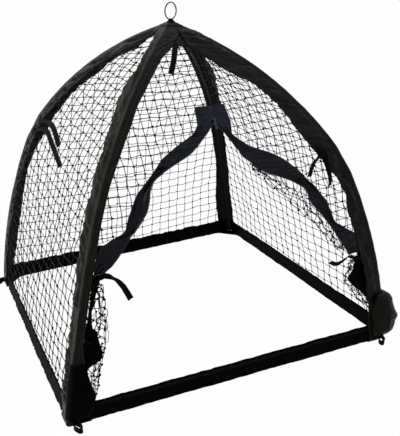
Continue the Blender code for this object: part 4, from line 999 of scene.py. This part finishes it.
def hanging(first, second, depth, fall, seed):
    """A place(u, v) for slack_web that goes from one line of spots to the other, in folds behind the face."""
    def place(u, v):
        at = u * (len(first) - 1)
        one, two = (np.array([np.interp(at, np.arange(len(line)), column) for column in zip(*line)])
                    for line in (first, second))
        share, height = one + (two - one) * v
        fold = noise(np.array([u * 9.0]), np.array([v * 1.6 + 2]), seed)[0] * 0.0035
        return face_point(0, station_of(0, height, share), share, depth - fall * v + min(fold, 0.0))
    return place


CURTAIN_TOP = ((0.6, 0.629), (0.652, 0.605), (0.744, 0.584), (0.795, 0.556), (0.8, 0.505), (0.855, 0.434),
               (0.873, 0.389), (0.905, 0.338))
CURTAIN_LOW = ((0.612, 0.612), (0.655, 0.575), (0.716, 0.5118), (0.762, 0.468), (0.786, 0.445), (0.836, 0.385),
               (0.857, 0.353), (0.89, 0.318))
panel("curtain", [
    slack_web(hanging(CURTAIN_TOP, CURTAIN_LOW, 0.0022, 0.004, 131), 15, 2, 141),
    slack_web(hanging(CURTAIN_TOP, [(s + 0.004, h + 0.006) for s, h in CURTAIN_LOW], -0.0015, 0.007, 132),
              12, 2, 142),
])
LEFT_POLE = ((0.014, 0.438), (0.016, 0.412), (0.016, 0.385), (0.014, 0.3419), (0.014, 0.2864), (0.014, 0.2162),
             (0.014, 0.1737), (0.014, 0.131), (0.014, 0.076))
LEFT_FREE = ((0.044, 0.438), (0.03, 0.406), (0.047, 0.385), (0.0632, 0.3419), (0.0729, 0.2864), (0.0775, 0.2162),
             (0.0759, 0.1737), (0.0714, 0.131), (0.0675, 0.076))
panel("flap_net_left", [
    slack_web(hanging(LEFT_POLE, LEFT_FREE, 0.0012, 0.001, 133), 17, 3, 143, 0.0012),
    slack_web(hanging(LEFT_POLE, LEFT_FREE, -0.003, 0.003, 134), 13, 4, 144, 0.0014),
    slack_web(hanging([(s * 0.75, h) for s, h in LEFT_FREE], LEFT_FREE, 0.0002, 0.001, 135), 22, 1, 145, 0.0006),
], "door_flap_left")
RIGHT_POLE = ((0.975, 0.319), (0.975, 0.3), (0.978, 0.28), (0.978, 0.2616), (0.978, 0.2314), (0.978, 0.2042),
              (0.98, 0.1672), (0.984, 0.1237), (0.992, 0.085))
RIGHT_FREE = ((0.952, 0.319), (0.944, 0.3), (0.912, 0.282), (0.896, 0.26), (0.878, 0.233), (0.89, 0.202),
              (0.918, 0.164), (0.954, 0.12), (0.985, 0.085))
panel("flap_net_right", [
    slack_web(hanging(RIGHT_POLE, RIGHT_FREE, 0.0012, 0.001, 136), 15, 4, 146, 0.0012),
    slack_web(hanging(RIGHT_POLE, RIGHT_FREE, -0.003, 0.003, 137), 12, 5, 147, 0.0014),
], "door_flap_right")

# Selvages: the nets' top edges are corded, and run from pole to pole a little below the cap.
LEFT_SELVAGE = ((0.29, 0.901), (0.3356, 0.9075), (0.5173, 0.9273), (0.8233, 0.9393), (0.9, 0.94))
FRONT_SELVAGE = ((0.2, 0.941), (0.2541, 0.9403), (0.44, 0.9385), (0.623, 0.9336), (0.72, 0.931))
webs = []
for side, ends in ((3, LEFT_SELVAGE), (0, FRONT_SELVAGE)):
    line = []
    for part in np.linspace(0, 1, 25):
        share, height = (np.interp(part, np.linspace(0, 1, len(ends)), column) for column in zip(*ends))
        line.append(face_point(side, station_of(side, height, share), share, 0.0034))
    webs.append((line, [(k, k + 1) for k in range(len(line) - 1)], [0.0] * len(line)))
panel("selvages", webs, sizes={"Thread Radius": 0.0009, "Knot Radius": 0.0012})

# Front gusset: a small triangle of the sleeve's cloth that closes the top of the door's face, down to the
# net's selvage. It is sewn in between the two front flanges.
u = np.linspace(0, 1, 25)[None, :]
v = np.linspace(0, 1, 17)[:, None]
share = 0.14 + 0.66 * u + 0 * v
q = station_of(0, 0.976, 0.5) * (1 - v) + v * np.array([
    station_of(0, np.interp(s, *zip(*FRONT_SELVAGE)), s) for s in share[0]])[None, :]
depth = 0.003 + creases(u * 2.2 + v * 0.6, v * 1.4 + 3 + 0 * u, 148) * 0.0005
surface = face_point(0, q, share, depth)
piece = cloth("gusset_front", surface, CLOTH, polyester)
width, length = widths(surface), float(lengths_along(surface[:, 12])[-1])

# Flap cloths: the hemmed lower ends of the door, gathered into long dark folds against the front poles. The
# left one is a narrow strip that opens into a leaf, the right one a fan with its point towards the door.
LEFT_CLOTH = ((0.399, 0.011, 0.03), (0.378, 0.015, 0.0335), (0.336, 0.0175, 0.03), (0.303, 0.017, 0.028),
              (0.274, 0.015, 0.034), (0.26, 0.015, 0.0505), (0.2283, 0.014, 0.0605), (0.1994, 0.012, 0.0724),
              (0.1774, 0.012, 0.0689), (0.169, 0.015, 0.05), (0.1592, 0.02, 0.032))
RIGHT_CLOTH = ((0.333, 0.98, 0.94), (0.3087, 0.982, 0.9401), (0.2616, 0.982, 0.9069), (0.2459, 0.982, 0.8907),
               (0.2314, 0.982, 0.8861), (0.2084, 0.982, 0.9034), (0.1759, 0.985, 0.9348), (0.1479, 0.987, 0.9595),
               (0.122, 0.993, 0.982))


def gathered_cloth(name, rows, count, folds, seed):
    """Cloth down the face between two edges given as (height, pole edge, free edge), in lengthwise folds."""
    heights, near, far = (np.array(column) for column in zip(*rows))
    height = np.linspace(heights[0], heights[-1], count)
    low, high = (np.interp(-height, -heights, column) for column in (near, far))
    u = np.linspace(0, 1, 25)[None, :]
    share = low[:, None] + (high - low)[:, None] * u
    run = (heights[0] - height)[:, None] * PEAK_HEIGHT
    fold = creases(u * folds + run / 0.07, run / 0.05 + 0 * u + seed, seed) * 0.0018
    fold = fold + creases(u * folds * 2.3 - run / 0.03, run / 0.02 + seed, seed + 1) * 0.0007
    ragged = noise(run / 0.011, 0 * run + seed, seed + 2) * 0.0022
    share = share + ragged * smooth((u - 0.75) / 0.25) * np.sign(high - low)[:, None]
    depth = 0.0028 + np.minimum(fold - 0.0012, 0.0004)
    q = np.array([station_of(0, h, 0.5 * (a + b)) for h, a, b in zip(height, low, high)])[:, None]
    surface = face_point(0, q, share, depth)
    piece = cloth(name, surface, BAND_CLOTH, band_cloth)
    width, length = widths(surface), float(lengths_along(surface[:, 12])[-1])


gathered_cloth("flap_cloth_left", LEFT_CLOTH, 120, 2.2, 151)
gathered_cloth("flap_cloth_right", RIGHT_CLOTH, 110, 3.4, 155)

# Flap hems: the door's bottom hem is stiff, so at each front corner it is folded back round the pole and
# stands off in flat facets with a few sharp folds.
HEM_EDGE = 0.008
LEFT_HEM = ((0.0198, 0.001, 0.032, 0.0045), (0.048, 0.002, 0.036, 0.0075), (0.082, 0.002, 0.039, 0.008),
            (0.1056, 0.002, 0.031, 0.0075), (0.145, 0.002, 0.021, 0.006), (0.182, 0.002, 0.015, 0.0035))
RIGHT_HEM = ((0.0198, 0.024, 0.008, 0.006), (0.039, 0.028, 0.012, 0.017), (0.085, 0.028, 0.018, 0.026),
             (0.118, 0.024, 0.018, 0.0235), (0.15, 0.016, 0.012, 0.015), (0.164, 0.012, 0.006, 0.0055))


def folded_hem(name, leg, rows, look, seed):
    """A cloth round a front corner, from its edge on the side face over the pole to its edge on the front.
    Each row gives a height, the reach along both faces and how far the cloth stands off."""
    heights, *measures = zip(*rows)
    height = np.linspace(heights[0], heights[-1], 90)
    back, fore, thick = (np.interp(height, heights, measure)[:, None] for measure in measures)
    q = np.array([station_of(0, h, float(leg)) for h in height])
    place, _, _, behind, ahead = corner_frame(leg, q)
    rise = (height - height[0])[:, None] * PEAK_HEIGHT
    closed = smooth(rise / 0.003) * smooth((rise[-1] - rise) / 0.003)
    u = np.concatenate([np.linspace(0.98, 0.0, 12), np.zeros(9), np.linspace(0.0, 0.98, 12)])[None, :]
    turn = np.concatenate([np.zeros(12), np.linspace(0, 1, 9), np.ones(12)])[None, :]
    normal = unit(behind[1][:, None] * (1 - turn)[..., None] + ahead[1][:, None] * turn[..., None])
    over = thick * (1 - u) + np.minimum(thick, HEM_EDGE) * u
    if leg == 0:
        over = over * (0.12 + 0.88 * smooth(turn * 1.6 - 0.5))
    folds = creases(turn * 1.5 + u * 1.2 + rise / 0.05, rise / 0.035 + seed + 0 * u, seed) * 0.09
    fine = creases(u * 2.6 - rise / 0.016 + turn * 2, rise / 0.012 + 0 * u, seed + 1) * 0.05
    over = over * (0.93 + np.minimum(folds + fine, 0.06))
    over = np.minimum(over, thick) * closed * (1 - smooth((u - 0.86) / 0.12)) + 0.0008
    reach = np.where(turn < 0.5, -back, fore) * u
    across = np.where(turn[..., None] < 0.5, behind[0][:, None], ahead[0][:, None])
    surface = place[:, None] + normal * (SKIN + 0.0009 + over)[..., None] + across * reach[..., None]
    surface[..., 2] = np.maximum(surface[..., 2], FOOT_Z)
    piece = cloth("hem_" + name, surface, CLOTH, look)
    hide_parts("flap_hem_" + name)
    width, length = widths(surface), float(lengths_along(surface[:, 16])[-1])


folded_hem("left", 0, LEFT_HEM, band_cloth, 161)
folded_hem("right", 1, RIGHT_HEM, polyester, 165)

# Flap ties: the tapes that hold the gathered flaps. Each goes once round the neck of its flap, is knotted in
# front, and leaves a loose end that sticks out across the doorway.
TIE_ROOM, FLAP_TUCK = 0.0018, 0.005
TAIL_POINTS, FLAT_POINTS = 30, 20
# The loose ends: spots of (share, height, depth), and below how far the tape is turned on edge along them.
LEFT_TAIL = ((0.046, 0.412, 0.0085), (0.071, 0.403, 0.01), (0.1055, 0.376, 0.009), (0.137, 0.334, 0.008))
RIGHT_TAIL = ((0.898, 0.3105, 0.0075), (0.863, 0.299, 0.009), (0.84, 0.296, 0.009), (0.82, 0.306, 0.008))
for name, leg, height, reach, tail, turns in (("left", 0, 0.4021, 0.011, LEFT_TAIL, (40, 45, 66, 30, 8, 0)),
                                              ("right", 1, 0.2897, 0.013, RIGHT_TAIL, (50, 38, 30, 45, 62))):
    q = station_of(0, height, 0.98 if leg else 0.02)
    here, there, across, outward = (v[0] for v in face_frame(0, np.array([q])))
    start, direction = (there, -across) if leg else (here, across)
    edge = flange_reach(leg, 1 - leg, np.array([q]))[0]
    middle, half = edge - FLAP_TUCK + reach / 2, reach / 2
    lean = np.clip((edge - middle) / half, -0.95, 0.95)
    depth = NET_OUT - TIE_ROOM - 0.0042 * math.sqrt(1 - lean**2)
    centre = start + direction * middle + outward * depth
    angles = np.radians(np.linspace(-235, 75, 34))[:, None]
    loop = centre + direction * (half + 0.00105) * np.cos(angles) + outward * 0.00525 * np.sin(angles)
    along = pole_frame(leg, np.array([q]))[1][0]
    end = through([face_point(0, station_of(0, low, share), share, out) for share, low, out in tail], TAIL_POINTS)
    path = np.concatenate([loop, through([loop[-1], end[0]], 4)[1:-1], end])
    turn = np.interp(np.linspace(0, 1, TAIL_POINTS), np.linspace(0, 1, len(turns)), turns)
    turn = np.radians(turn)[:, None]
    wide = unit(np.cross(unit(np.gradient(end, axis=0)), outward)) * np.cos(turn) + outward * np.sin(turn)
    wide = wide * math.copysign(1, wide[0] @ along)
    blend = smooth(np.linspace(0, 1, len(path) - TAIL_POINTS - FLAT_POINTS))[:, None]
    turning = unit(along * (1 - blend) + wide[0] * blend)
    across_path = np.concatenate([np.repeat(along[None], FLAT_POINTS, axis=0), turning, wide])
    piece = strap("tie_cloth_" + name, path, across_path, TIE_WIDTH, "cage", seed=171 + leg, curl=0.0004)
    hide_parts("flap_tie_" + name)
    round(float(lengths_along(path)[-1]), 3)

# Peak cap: a square of the sleeve's cloth over the four sleeves' ends, hemmed all round and sewn down.
CAP_RISE, CAP_SIDE, CAP_DIP = 0.0029, 0.0024, 0.0021
low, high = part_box("peak_cap")
u = np.linspace(-1, 1, 41)[None, :] + np.zeros((41, 1))
v = u.T
reach = np.minimum((np.abs(u) ** 6 + np.abs(v) ** 6) ** (1 / 6), 1.0)
dome = high[2] + CAP_RISE - (high[2] - low[2] + CAP_SIDE) * reach**0.9
dome = dome - CAP_DIP * np.exp(-((u**2 + v**2) / 0.035))
dome = dome + creases(u * 2.3 + 4, v * 2.3 + 1, 91) * 0.0005 * (1 - reach**4) + noise(u * 3, v * 3, 92) * 0.0003
middle = ((low[0] + high[0]) / 2, (low[1] + high[1]) / 2)
half = ((high[0] - low[0]) / 2, (high[1] - low[1]) / 2)
surface = np.stack([middle[0] + u * half[0], middle[1] + v * half[1], dome], axis=-1)
piece = cloth("cap", surface, CLOTH, polyester)
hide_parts("peak_cap")
inset = slice(4, -4)
square = np.concatenate([surface[4, inset], surface[inset, -5], surface[-5, inset][::-1], surface[inset, 4][::-1]])
stitch_lines("cap_stitches", [square + UP * (CLOTH / 2 + STITCH_LIFT)],
             sizes={"Pitch": 0.0034, "Stitch Length": 0.0026, "Thread Radius": 0.0003})

# Ring tab: a short loop of tape sewn to the cap, which the hanging ring runs in.
RING_AZIMUTH = math.radians(22.9)
along_ring = np.array([math.cos(RING_AZIMUTH), math.sin(RING_AZIMUTH), 0.0])
across_ring = np.array([-math.sin(RING_AZIMUTH), math.cos(RING_AZIMUTH), 0.0])
low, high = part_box("ring_tab")
ring_low, ring_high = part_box("peak_ring")
wire_z = ring_low[2] + 0.001
foot = [(-0.0062, low[2] - 0.0002), (-0.0048, low[2] + 0.0006), (-0.0035, low[2] + 0.0018)]
rise = high[2] - 0.0005 - wire_z
bow = [(0.0026 * math.cos(a), wire_z + rise * math.sin(a)) for a in np.linspace(math.pi, 0, 13)]
loop = foot + bow + [(-x, z) for x, z in foot[::-1]]
path = [np.array([HUB_X, 0, 0]) + across_ring * x + UP * z for x, z in loop]
pinch = np.interp(np.arange(len(path)), (0, 3, 9, 15, 18), (0.011, 0.0078, 0.0056, 0.0078, 0.011))
piece = strap("tab_loop", path, [along_ring] * len(path), pinch, "cage", curl=0.0)
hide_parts("ring_tab")

# Hanging ring: a split ring of flattened, nickel-plated wire in two turns. The plating is the bright kind,
# clouded by handling.
nickel = material("bright_nickel_plate", "#4f4e4c", 0.2, {"Scale": 700.0, "Detail": 3.0}, ("#3a3937", "#64625f"),
                  (0.14, 0.34), metallic=1.0)
RING_START, RING_TURNS, RING_STEPS = -0.6, 1.97, 190
TURN_GAP = 0.00048
WIRE_HEIGHT, WIRE_WIDTH, WIRE_SIDES = 0.00105, 0.0005, 12
ring_centre = np.array([HUB_X, 0, (ring_low[2] + ring_high[2]) / 2 + 0.0006])
ring_radius = (ring_high[2] - ring_low[2]) / 2 - 0.0018
angles = np.linspace(0, RING_TURNS * 2 * math.pi, RING_STEPS)
offset = TURN_GAP * (2 * smooth((angles - 2 * math.pi * 0.94) / 0.5) - 1)
outline = [[math.copysign(abs(c) ** 0.6, c) for c in (math.cos(a), math.sin(a))]
           for a in np.linspace(0, 2 * math.pi, WIRE_SIDES + 1)[:-1]]
ring_mesh = bmesh.new()
rings = []
for angle, side in zip(angles + RING_START, offset):
    spoke = along_ring * math.cos(angle) + UP * math.sin(angle)
    centre = ring_centre + spoke * ring_radius + across_ring * side
    rings.append([ring_mesh.verts.new(centre + spoke * WIRE_HEIGHT * a + across_ring * WIRE_WIDTH * b)
                  for a, b in outline])
for here, there in zip(rings, rings[1:]):
    for k in range(WIRE_SIDES):
        after = (k + 1) % WIRE_SIDES
        ring_mesh.faces.new((here[k], here[after], there[after], there[k]))
ring_mesh.faces.new(rings[0][::-1])
ring_mesh.faces.new(rings[-1])
bmesh.ops.recalc_face_normals(ring_mesh, faces=ring_mesh.faces[:])
made = bpy.data.meshes.new("split_ring")
ring_mesh.to_mesh(made)
ring_mesh.free()
made.materials.append(nickel)
made.polygons.foreach_set("use_smooth", np.ones(len(made.polygons), bool))
split_ring = put("split_ring", made)
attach(split_ring, "ring")
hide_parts("peak_ring")

# Peg loops: 10 mm tape folded in a loop at each corner, on edge just off the ground, for a ground peg.
PEG_DIRECTION = np.radians((-77, -125, 45, -155))
PEG_LENGTH, PEG_HEIGHT, STEM = 0.025, 0.01, 0.001
t = np.linspace(0, 2 * math.pi, 41)
x = PEG_LENGTH * (1 - np.cos(t)) / 2
y = PEG_LENGTH * 0.185 * np.sin(t) * (0.25 + 0.75 * smooth(x / PEG_LENGTH * 1.7)) + 0.0008 * np.sign(math.pi - t)
for leg, name in enumerate(LEGS):
    place, normal, aside, behind, ahead = corner_frame(leg, FOOT)
    out = np.array([math.cos(PEG_DIRECTION[leg]), math.sin(PEG_DIRECTION[leg]), 0.0])
    flat = np.array([-out[1], out[0], 0.0])
    least, turn, most = (float(turn_to(v, normal, aside)[0]) for v in (behind[1], out, ahead[1]))
    kept = min(max(turn, least), most)
    root = place + (SKIN + 0.0003 + STEM + TAPE_THICK / 2 + 0.0001) * (
        normal * math.cos(kept) + aside * math.sin(kept))
    if kept != turn:
        root = root + (ahead[0] if turn > 0 else -behind[0]) * 0.005
    root[0, 2] = FOOT_Z + PEG_HEIGHT / 2
    path = root + out * (x[:, None] - STEM) + flat * y[:, None]
    piece = strap("loop_" + name, path, [UP] * len(path), PEG_HEIGHT, "peg_loop_" + name + "_webbing", seed=leg + 2,
                  curl=0.0003)
    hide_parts("peg_loop_" + name)
    round(float(lengths_along(path)[-1]), 3)

# Floor, light and camera: a plain white sweep, two soft lamps and the photograph's viewpoint.
AZIMUTH, ELEVATION, ROLL = np.radians((-26.569, 21.43, -0.203))
VIEWPOINT = (-0.544, -1.213, 0.72)
SENSOR_WIDTH, LENS = 36.0, 57.8
FLOOR_WHITE, SKY_LIGHT = 0.985, 0.22
camera = put("camera", bpy.data.cameras.new("camera"))
back = Vector((math.sin(AZIMUTH) * math.cos(ELEVATION), -math.cos(AZIMUTH) * math.cos(ELEVATION),
               math.sin(ELEVATION)))
level = Vector((math.cos(AZIMUTH), math.sin(AZIMUTH), 0.0))
rise = back.cross(level)
right = level * math.cos(ROLL) + rise * math.sin(ROLL)
upward = rise * math.cos(ROLL) - level * math.sin(ROLL)
camera.matrix_world = Matrix([*zip(right, upward, back, VIEWPOINT), (0, 0, 0, 1)])
camera.data.sensor_width = SENSOR_WIDTH
camera.data.lens = LENS
bpy.context.scene.camera = camera


def in_sight(tree):
    """1 for rays of the camera, off gloss and through glass, to which the backdrop is plain white, else 0."""
    paths = add(tree, "ShaderNodeLightPath")
    share = paths.outputs["Is Camera Ray"]
    for kind in ("Is Glossy Ray", "Is Transmission Ray"):
        share = add(tree, "ShaderNodeMath", {0: share, 1: paths.outputs[kind]}, operation="MAXIMUM").outputs[0]
    return share


floor = put("floor", bpy.data.meshes.new("floor"))
floor.data.from_pydata([(-8, -8, 0), (8, -8, 0), (8, 8, 0), (-8, 8, 0)], [], [(0, 1, 2, 3)])
floor_look = material("matt_white_sweep", "#f4f4f4", 0.9)
tree = floor_look.node_tree
lift = add(tree, "ShaderNodeMath", {0: in_sight(tree)}, {1: FLOOR_WHITE}, operation="MULTIPLY")
white = add(tree, "ShaderNodeEmission", values={"Color": (1, 1, 1, 1), "Strength": 1.0})
blend = add(tree, "ShaderNodeMixShader", {
    0: lift.outputs[0], 1: tree.nodes["Principled BSDF"].outputs[0], 2: white.outputs[0]})
tree.links.new(blend.outputs[0], tree.nodes["Material Output"].inputs["Surface"])
floor.data.materials.append(floor_look)
floor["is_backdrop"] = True

world = bpy.data.worlds.new("studio")
bpy.context.scene.world = world
world.use_nodes = True
tree = world.node_tree
lit = tree.nodes["Background"]
lit.inputs["Color"].default_value = (1, 1, 1, 1)
lit.inputs["Strength"].default_value = SKY_LIGHT
seen = add(tree, "ShaderNodeBackground", values={"Color": (1, 1, 1, 1), "Strength": 1.0})
swap = add(tree, "ShaderNodeMixShader", {0: in_sight(tree), 1: lit.outputs[0], 2: seen.outputs[0]})
tree.links.new(swap.outputs[0], tree.nodes["World Output"].inputs["Surface"])

LAMP_SIZE, LAMP_TARGET = 0.6, (0, 0, 0.25)
for name, place, power, tone in (
    ("lamp_left", (-1.9, -0.1, 1.5), 20.0, "#ffebcd"),
    ("lamp_right", (0.9, -1.5, 2.2), 11.0, "#b4c8ff"),
):
    lamp = put(name, bpy.data.lights.new(name, "AREA"))
    lamp.location = place
    lamp.rotation_euler = (Vector(LAMP_TARGET) - Vector(place)).to_track_quat("-Z", "Y").to_euler()
    lamp.data.shape = "DISK"
    lamp.data.size = LAMP_SIZE
    lamp.data.energy = power
    lamp.data.color = colour(tone)[:3]

bpy.context.scene.view_settings.view_transform = "Standard"

low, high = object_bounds()
